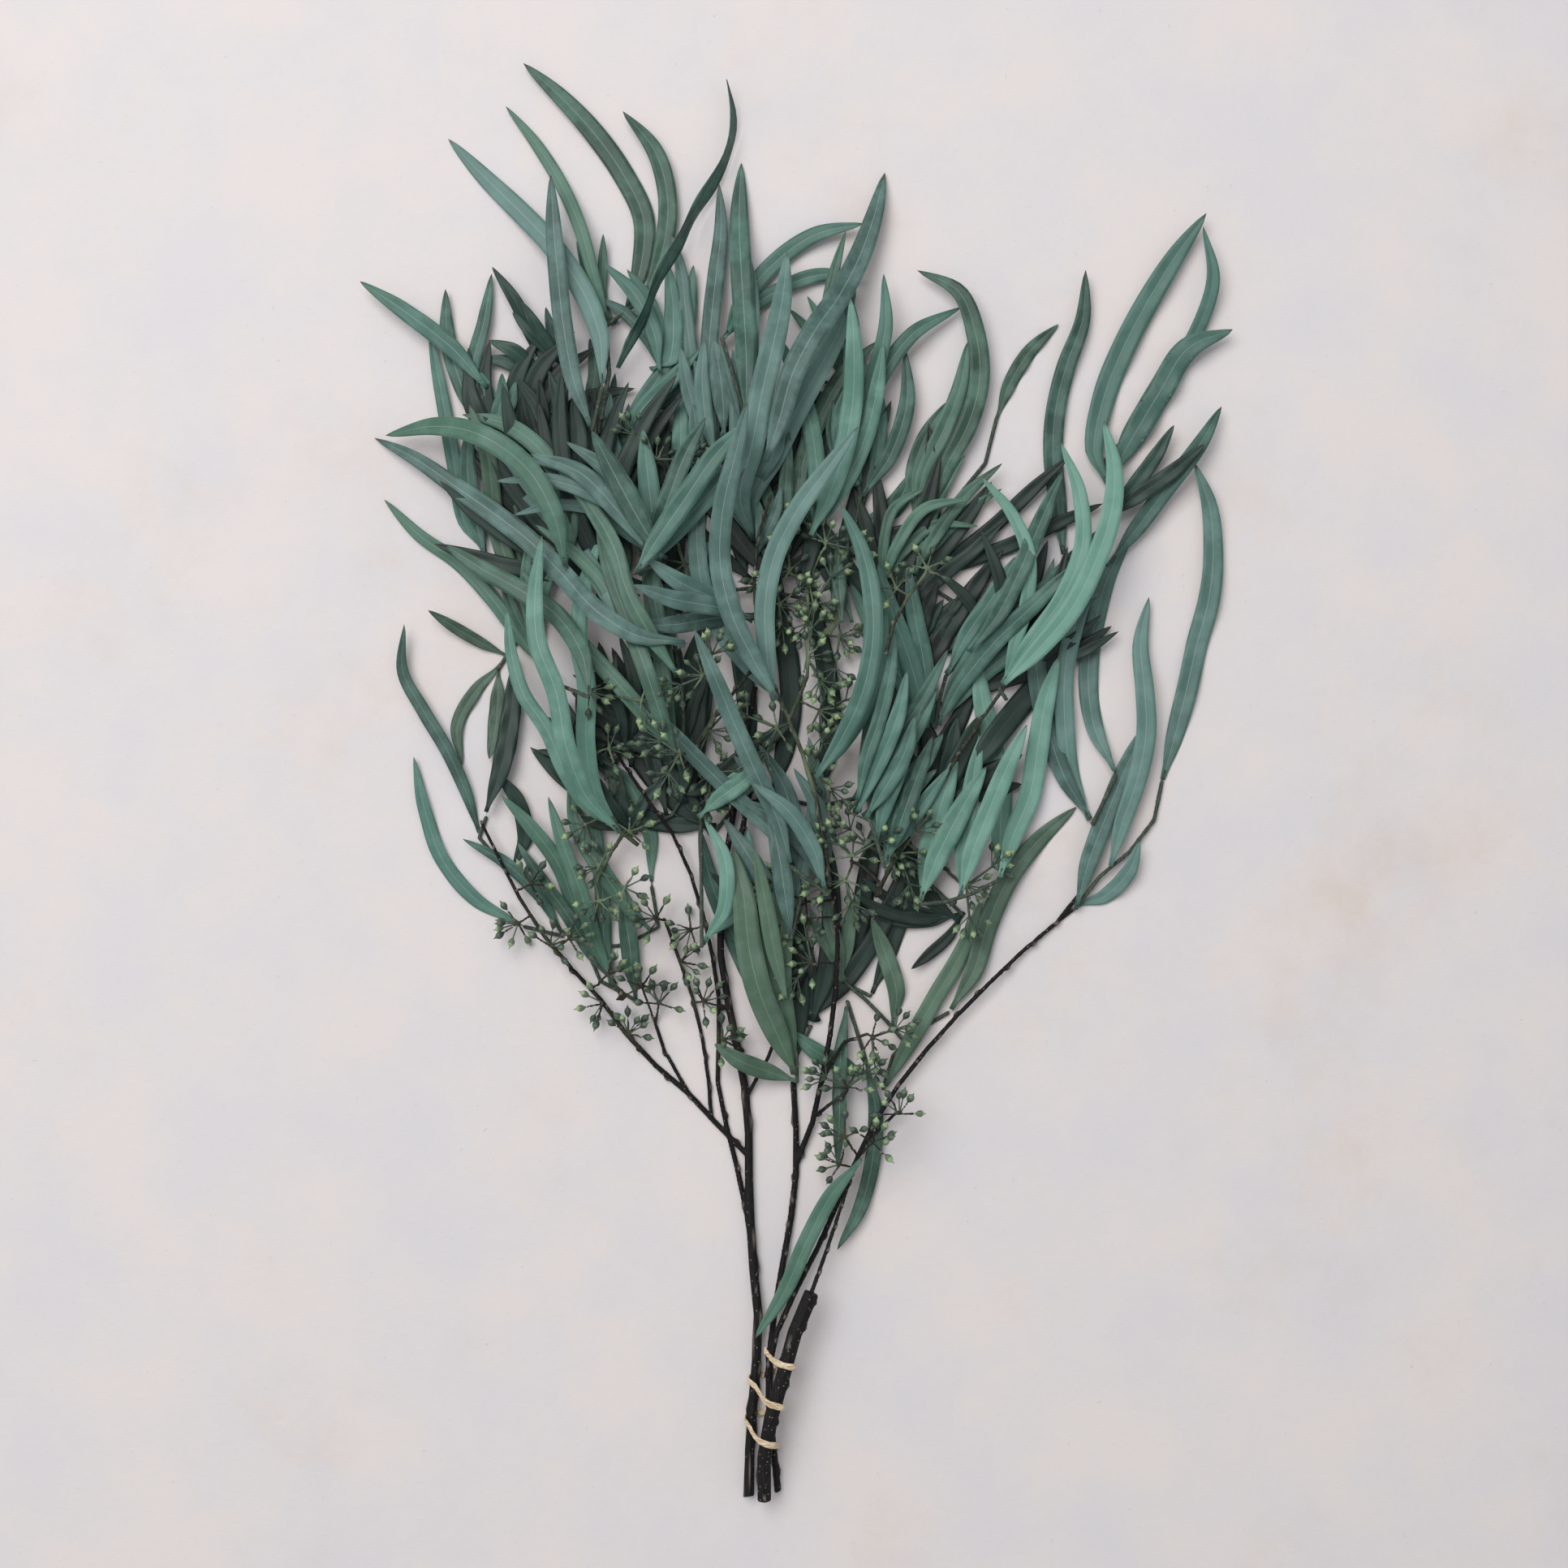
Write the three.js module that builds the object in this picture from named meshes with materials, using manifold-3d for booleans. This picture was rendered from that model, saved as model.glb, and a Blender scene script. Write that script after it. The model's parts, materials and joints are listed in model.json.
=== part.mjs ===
// A tied bunch of willow-leaved seeded eucalyptus, lying flat on a table.
//
// Units are millimetres and +Z is up. +Y runs from the cut stem ends to the leaf tips, z = 0 is the
// surface that the bunch rests on, and the origin is below the middle of the bunch.
//
// Each leaf, twig and bud cluster has a route in plan, and the pieces are laid one after another,
// lowest first, the way a bunch is built up on a table. A height field holds the top of the heap so
// far, and every new piece is bent just enough to lie on it.

import * as THREE from "three";
import { mergeVertices } from "three/addons/utils/BufferGeometryUtils.js";
import Module from "manifold-3d";

const wasm = await Module();
wasm.setup();

// ---- Driving dimensions ----

const GAP = 0.5;              // air between a piece and what it rests on
const LEAF_KEEL = 0.9;        // how far the midrib stands below the blade
const LEAF_STEP = 25;         // length of one straight stretch of a leaf
const LEAF_SAG = 2.2;         // how far a leaf may dip over one stretch
const PETIOLE_LENGTH = 7;
const PETIOLE_WIDTH = 1.3;
const BLADE_FULLNESS = 3.1;   // 2 is an ellipse; higher stays broad for longer
const LEAF_SPRING = 7;        // the most that a free leaf tip lifts off the heap
const TWIG_STEP = 22;
const TWIG_SAG = 0.5;
const SPRAY_TWIG_RADIUS = 1.0;
const TWIG_BERTH = 2.5;       // twigs clear the heap this far to each side, so petioles can leave them
const OWN_BERTH = 9;          // a leaf lies over its own shoot from this far along its length
const PEDICEL_LENGTH = 8;     // hub of a cluster to the foot of a bud
const BUD_LENGTH = 7;
const BUD_RADIUS = 2.2;
const BUD_SIDES = 3;
const HUB_RADIUS = 1.3;
const PEDUNCLE_RADIUS = 0.75;
const TIE_FROM_Y = 22;        // the tie's first turn
const TIE_PITCH = 20;
const TIE_TURNS = 2.7;
const TIE_WIDTH = 3.2;
const TIE_THICKNESS = 0.9;
const TIE_SLACK = 1.05;       // air between the tie and the stems inside it
const TIE_CLEARANCE = 1.9;    // stems stay this far off the surface where the tie passes below them

// ---- Colours and finishes ----

const FINISH = {
  slate: { color: 0x5d7c74, roughness: 0.62 },
  teal: { color: 0x4c6f65, roughness: 0.6 },
  mint: { color: 0x7fa698, roughness: 0.62 },
  green: { color: 0x48695a, roughness: 0.58 },
  olive: { color: 0x4d6653, roughness: 0.6 },
  dark: { color: 0x2c453d, roughness: 0.6 },
  bark: { color: 0x211a19, roughness: 0.75 },
  fruiting: { color: 0x586c4c, roughness: 0.6 },
  tie: { color: 0xc9ab84, roughness: 0.7 },
};

// ---- The heap: a 1 mm grid with the highest point laid so far in each cell ----

const HEAP_MIN = new THREE.Vector2(-240, -20);
const HEAP_SIZE = { x: 500, y: 780 };

class Heap {
  constructor(cells) {
    this.cells = cells || new Float32Array(HEAP_SIZE.x * HEAP_SIZE.y);
  }

  copy() {
    return new Heap(this.cells.slice());
  }

  // The four cells round a point, so that a near miss counts as a touch.
  around(x, y) {
    const column = Math.floor(x - HEAP_MIN.x - 0.5);
    const row = Math.floor(y - HEAP_MIN.y - 0.5);
    const first = row * HEAP_SIZE.x + column;
    return [first, first + 1, first + HEAP_SIZE.x, first + HEAP_SIZE.x + 1];
  }

  top(x, y) {
    return Math.max(...this.around(x, y).map((cell) => this.cells[cell]));
  }

  raise(x, y, z) {
    for (const cell of this.around(x, y)) this.cells[cell] = Math.max(this.cells[cell], z);
  }
}

let heap = new Heap();

// ---- Plan routes ----

const toVectors = (route) => route.map(([x, y]) => new THREE.Vector3(x, y, 0));

// Points along a smooth plan route, spaced evenly at about one step.
function spaced(route, step) {
  const curve = new THREE.CatmullRomCurve3(toVectors(route), false, "centripetal");
  return curve.getSpacedPoints(Math.max(3, Math.round(curve.getLength() / step)));
}

function nearest(points, x, y) {
  let best = { distance: Infinity };
  for (let i = 0; i + 1 < points.length; i += 1) {
    const line = new THREE.Line3(points[i], points[i + 1]);
    const flat = new THREE.Line3(points[i].clone().setZ(0), points[i + 1].clone().setZ(0));
    const along = flat.closestPointToPointParameter(new THREE.Vector3(x, y, 0), true);
    const point = line.at(along, new THREE.Vector3());
    const distance = Math.hypot(point.x - x, point.y - y);
    if (distance < best.distance) best = { distance, point };
  }
  return best;
}

// Lifts a row of plan points on to the heap. offsets(t) lists the sideways offsets to test at one
// place, with how much the piece's centre must stay above the heap there. A foot that grows on a
// twig keeps its height, and the piece climbs from it.
function lay(points, offsets, { sag, foot = null, end = 0, top = (x, y) => heap.top(x, y) }) {
  const last = points.length - 1;
  const z = points.map(() => 0);
  if (foot !== null) z[0] = foot;
  z[last] = end;
  let travelled = 0;
  for (let i = 0; i < last; i += 1) {
    const a = points[i];
    const b = points[i + 1];
    const length = Math.hypot(b.x - a.x, b.y - a.y) || 1;
    const side = { x: -(b.y - a.y) / length, y: (b.x - a.x) / length };
    const count = Math.ceil(length / 0.7);
    const climbs = foot !== null && i === 0;
    for (let k = 0; k <= count; k += 1) {
      const t = k / count;
      if (climbs && t * length < TWIG_BERTH) continue;
      const x = a.x + (b.x - a.x) * t;
      const y = a.y + (b.y - a.y) * t;
      for (const [across, above] of offsets((i + t) / last)) {
        const reached = travelled + t * length;
        const need = top(x + side.x * across, y + side.y * across, reached) + GAP + above;
        if (climbs) z[1] = Math.max(z[1], (need - foot * (1 - t)) / t);
        else z[i] = Math.max(z[i], need);
        z[i + 1] = Math.max(z[i + 1], need);
      }
    }
    travelled += length;
  }
  for (let pass = 0; pass < 60; pass += 1) {
    for (let i = 1; i < last; i += 1) z[i] = Math.max(z[i], (z[i - 1] + z[i + 1]) / 2 - sag);
    if (foot === null) z[0] = Math.max(z[0], 2 * z[1] - z[2] - 3 * sag);
    if (last > 1) z[last] = Math.max(z[last], 2 * z[last - 1] - z[last - 2] - 3 * sag);
  }
  points.forEach((point, i) => point.setZ(z[i]));
}

// ---- Closed meshes built from rings of points ----

const solidOf = (vertices, triangles) => {
  const geometry = new THREE.BufferGeometry();
  geometry.setAttribute("position", new THREE.Float32BufferAttribute(vertices.flatMap((v) => v.toArray()), 3));
  geometry.setIndex(triangles.flat());
  const welded = mergeVertices(geometry, 1e-4);
  return new wasm.Manifold(new wasm.Mesh({
    numProp: 3,
    vertProperties: new Float32Array(welded.attributes.position.array),
    triVerts: new Uint32Array(welded.index.array),
  }));
};

// Skins a list of rings, each with the same number of points, anticlockwise when seen from the far
// end. A ring of one point closes that end to a tip, and any other end is closed flat.
function skin(rings) {
  const vertices = rings.flat();
  const triangles = [];
  let first = 0;
  for (let r = 0; r + 1 < rings.length; r += 1) {
    const here = rings[r].length;
    const there = rings[r + 1].length;
    const next = first + here;
    for (let i = 0; i < Math.max(here, there); i += 1) {
      const j = (i + 1) % Math.max(here, there);
      if (here === 1) triangles.push([first, next + j, next + i]);
      else if (there === 1) triangles.push([first + i, first + j, next]);
      else triangles.push([first + i, first + j, next + j], [first + i, next + j, next + i]);
    }
    first = next;
  }
  const close = (start, count, facingBack) => {
    for (let i = 1; i + 1 < count; i += 1) {
      triangles.push(facingBack ? [start, start + i + 1, start + i] : [start, start + i, start + i + 1]);
    }
  };
  close(0, rings[0].length, true);
  close(vertices.length - rings.at(-1).length, rings.at(-1).length, false);
  return solidOf(vertices, triangles);
}

function ringAround(centre, along, radius, sides, turn = 0) {
  const up = Math.abs(along.z) > 0.95 ? new THREE.Vector3(1, 0, 0) : new THREE.Vector3(0, 0, 1);
  const side = new THREE.Vector3().crossVectors(up, along).normalize();
  const top = new THREE.Vector3().crossVectors(along, side).normalize();
  return Array.from({ length: sides }, (_, i) => {
    const angle = turn + (2 * Math.PI * i) / sides;
    return centre.clone().addScaledVector(side, radius * Math.cos(angle))
      .addScaledVector(top, radius * Math.sin(angle));
  });
}

function tangentAt(points, i) {
  const before = points[Math.max(0, i - 1)];
  const after = points[Math.min(points.length - 1, i + 1)];
  return after.clone().sub(before).normalize();
}

function tube(points, radiusAt, sides) {
  const last = points.length - 1;
  const turn = Math.PI / 2;
  return skin(points.map((p, i) => ringAround(p, tangentAt(points, i), radiusAt(i / last), sides, turn)));
}

const union = (solids) => solids.reduce((whole, solid) => whole.add(solid));

// ---- Twigs ----

// radius: [at the foot, at the tip]. clear holds a twig off the surface near its foot, for the tie.
const twig = (radius, ...route) => ({ radius, route });

function layTwig({ radius: [foot, tip], route }, parents) {
  const joined = nearestOf(parents, route[0]);
  const points = spaced(startedOn(joined, route), TWIG_STEP);
  const radiusAt = (t) => foot + (tip - foot) * t;
  lay(points, (t) => {
    const r = radiusAt(t);
    return [[-TWIG_BERTH, r], [-r, r], [0, r], [r, r], [TWIG_BERTH, r]];
  }, { sag: TWIG_SAG, foot: joined ? joined.point.z : null });
  return { points, radiusAt, solids: [tube(points, radiusAt, foot > 1.8 ? 6 : 4)] };
}

function nearestOf(wood, [x, y]) {
  return wood.map(({ points }) => nearest(points, x, y)).sort((a, b) => a.distance - b.distance)[0];
}

// A route that starts exactly on the twig that it grows on.
function startedOn(joined, route) {
  if (!joined) return route;
  const start = [joined.point.x, joined.point.y];
  return joined.distance > 3 ? [start, ...route] : [start, ...route.slice(1)];
}

function coverTwig({ points, radiusAt }, target = heap) {
  const last = points.length - 1;
  for (let i = 0; i < last; i += 1) {
    const length = points[i].distanceTo(points[i + 1]);
    const side = tangentAt([points[i], points[i + 1]], 0);
    for (let k = 0; k <= Math.ceil(length / 0.7); k += 1) {
      const t = k / Math.ceil(length / 0.7);
      const p = points[i].clone().lerp(points[i + 1], t);
      const r = radiusAt((i + t) / last);
      for (let across = -r; across <= r; across += r / 3) {
        target.raise(p.x - side.y * across, p.y + side.x * across, p.z + r);
      }
    }
  }
}

// ---- Leaves: a flat blade with a keel below, base first in the route ----

const leaf = (width, roll, ...route) => ({ width, roll: THREE.MathUtils.degToRad(roll), route });

function bladeWidth(width, t, length) {
  const petiole = PETIOLE_LENGTH / length;
  if (t < petiole) return PETIOLE_WIDTH * (0.5 + 0.5 * (t / petiole));
  const u = ((t - petiole) / (1 - petiole)) ** 0.82;
  return Math.max(PETIOLE_WIDTH, width * (1 - Math.abs(2 * u - 1) ** BLADE_FULLNESS));
}

function layLeaf({ width, roll, route }, wood, siblings, order) {
  const joined = nearestOf(wood, route[0]);
  const points = spaced(startedOn(joined, route), LEAF_STEP);
  const length = points.reduce((sum, p, i) => (i ? sum + p.distanceTo(points[i - 1]) : 0), 0);
  points.splice(1, 0, points[0].clone().lerp(points[1], Math.min(0.5, PETIOLE_LENGTH / LEAF_STEP)));
  const last = points.length - 1;
  const reached = points.map((p, i) => points.slice(1, i + 1).reduce((s, q, k) => s + q.distanceTo(points[k]), 0));
  const widths = reached.map((s) => bladeWidth(width, s / length, length));
  const rolls = reached.map((s) => roll * Math.min(1, s / 25));
  const at = (list, t) => THREE.MathUtils.lerp(
    list[Math.min(last - 1, Math.floor(t * last))], list[Math.min(last, Math.floor(t * last) + 1)],
    t * last - Math.min(last - 1, Math.floor(t * last)));
  const offsets = (t) => [-1, -0.6, -0.2, 0.2, 0.6, 1].map((v) => {
    const half = (at(widths, t) / 2) * v;
    const tilt = at(rolls, t);
    return [half * Math.cos(tilt), (1 - Math.abs(v)) * LEAF_KEEL - half * Math.sin(tilt)];
  });
  const top = (x, y, s) => (s < OWN_BERTH ? heap : siblings).top(x, y);
  lay(points, offsets, { sag: LEAF_SAG, foot: joined ? joined.point.z : null, top });
  const spring = LEAF_SPRING * (0.5 + 0.5 * Math.sin(order * 2.4));
  points.forEach((p, i) => p.setZ(p.z + spring * (i / last) ** 2));

  const rings = points.map((p, i) => {
    if (i === last) return [p];
    const along = tangentAt(points, i);
    const flat = new THREE.Vector3(-along.y, along.x, 0).normalize();
    const up = new THREE.Vector3().crossVectors(along, flat).negate().normalize();
    if (up.z < 0) up.negate();
    const side = flat.clone().multiplyScalar(Math.cos(rolls[i])).addScaledVector(up, Math.sin(rolls[i]));
    const top = up.clone().multiplyScalar(Math.cos(rolls[i])).addScaledVector(flat, -Math.sin(rolls[i]));
    const half = widths[i] / 2;
    return [p.clone().addScaledVector(side, half), p.clone().addScaledVector(side, -half),
      p.clone().addScaledVector(top, -Math.min(LEAF_KEEL, 1.2 * half))];
  });
  const solids = [skin(rings)];

  const cover = (target, from) => {
    for (let i = 0; i < last; i += 1) {
      const a = points[i];
      const b = points[i + 1];
      const run = Math.hypot(b.x - a.x, b.y - a.y) || 1;
      const count = Math.ceil(run / 0.7);
      for (let k = 0; k <= count; k += 1) {
        const t = (i + k / count) / last;
        if (reached[i] + (run * k) / count < from) continue;
        const p = a.clone().lerp(b, k / count);
        const half = at(widths, t) / 2;
        const tilt = at(rolls, t);
        const steps = Math.ceil(half / 0.35);
        for (let v = -steps; v <= steps; v += 1) {
          const across = (half * v) / steps;
          target.raise(p.x - ((b.y - a.y) / run) * across * Math.cos(tilt),
            p.y + ((b.x - a.x) / run) * across * Math.cos(tilt), p.z + across * Math.sin(tilt) + 0.15);
        }
      }
    }
  };
  return { solids, cover };
}

// ---- Umbels: a short stalk with a star of pointed buds ----

const umbel = (count, x, y) => ({ count, x, y });

// Directions of the stalks of the buds, spread over a flattened half ball that faces `outward`.
function budDirections(count, outward, turn) {
  const start = Math.atan2(outward.y, outward.x);
  return Array.from({ length: count }, (_, i) => {
    const swing = ((i + 0.5) / count - 0.5) * THREE.MathUtils.degToRad(250);
    const lift = 0.55 * Math.sin(turn + i * 2.4);
    return new THREE.Vector3(Math.cos(start + swing), Math.sin(start + swing), lift).normalize();
  });
}

function layUmbel({ count, x, y }, wood, order) {
  const foot = nearestOf(wood, [x, y]).point.clone();
  const outward = new THREE.Vector3(x - foot.x, y - foot.y, 0);
  if (outward.length() < 0.5) outward.set(Math.cos(order), Math.sin(order), 0);
  outward.normalize();
  const directions = budDirections(count, outward, order);
  const probes = directions.flatMap((direction) => [0.25, 0.5, 0.8, 1.1, 1.4, 1.75].map((far) => {
    const offset = direction.clone().multiplyScalar(PEDICEL_LENGTH * far);
    return { offset, radius: far > 0.9 ? BUD_RADIUS : 0.7 };
  }));
  const clear = probes.flatMap(({ offset, radius }) => [-1, 0, 1].flatMap((i) => [-1, 0, 1]
    .map((j) => heap.top(x + offset.x + i * radius, y + offset.y + j * radius) + GAP + radius - offset.z)));
  const stalk = [foot.clone(), new THREE.Vector3(x, y, 0).addScaledVector(outward, 0.4 * HUB_RADIUS)];
  lay(stalk, () => [[-PEDUNCLE_RADIUS, 0.3], [0, PEDUNCLE_RADIUS], [PEDUNCLE_RADIUS, 0.3]],
    { sag: 1, foot: foot.z, end: Math.max(...clear, HUB_RADIUS + GAP) });
  const hub = new THREE.Vector3(x, y, stalk[1].z);
  const solids = [tube(stalk, () => PEDUNCLE_RADIUS, 3)];
  const half = Math.ceil(count / 2);
  for (let i = 0; i < half; i += 1) solids.push(budsSolid(hub, directions[i], directions[i + half]));
  const cover = (target) => {
    for (const { offset, radius } of probes) {
      for (let i = -radius; i <= radius; i += 0.7) {
        for (let j = -radius; j <= radius; j += 0.7) {
          target.raise(hub.x + offset.x + i, hub.y + offset.y + j, hub.z + offset.z + radius);
        }
      }
    }
    coverTwig({ points: stalk, radiusAt: () => PEDUNCLE_RADIUS });
    target.raise(hub.x, hub.y, hub.z + HUB_RADIUS);
  };
  return { solids, cover };
}

// One bud on its stalk as rings, from the tip of the bud towards the hub. facing is 1 where the skin
// runs outwards along the stalk, and -1 where it runs towards the hub.
function budRings(hub, direction, facing = -1) {
  const along = direction.clone().multiplyScalar(facing);
  const out = (far) => hub.clone().addScaledVector(direction, far);
  return [
    [out(PEDICEL_LENGTH + BUD_LENGTH)],
    ringAround(out(PEDICEL_LENGTH + 0.42 * BUD_LENGTH), along, BUD_RADIUS, BUD_SIDES),
    ringAround(out(PEDICEL_LENGTH), along, 0.65, BUD_SIDES),
  ];
}

// Two buds that share one stalk bent through the hub, or one bud that ends just past the hub.
function budsSolid(hub, first, second) {
  const arrive = budRings(hub, first);
  if (!second) return skin([...arrive, ringAround(hub.clone().addScaledVector(first, -0.5),
    first.clone().negate(), 0.5, BUD_SIDES)]);
  const through = second.clone().sub(first).normalize();
  const leave = budRings(hub, second, 1).reverse();
  return skin([...arrive, ringAround(hub, through, 0.6 * HUB_RADIUS, BUD_SIDES), ...leave]);
}

// ---- The bunch, lowest piece first ----
//
// A piece is one shoot: its twigs, its leaves (width, roll in degrees, then the route from the
// petiole to the tip) and its bud clusters (number of buds, then the hub). Where a shoot names no
// twig, its twig runs through the feet of its leaves.

const piece = (name, finish, { twigs = [], leaves = [], umbels = [] }) => ({ name, finish, twigs, leaves, umbels });

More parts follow.
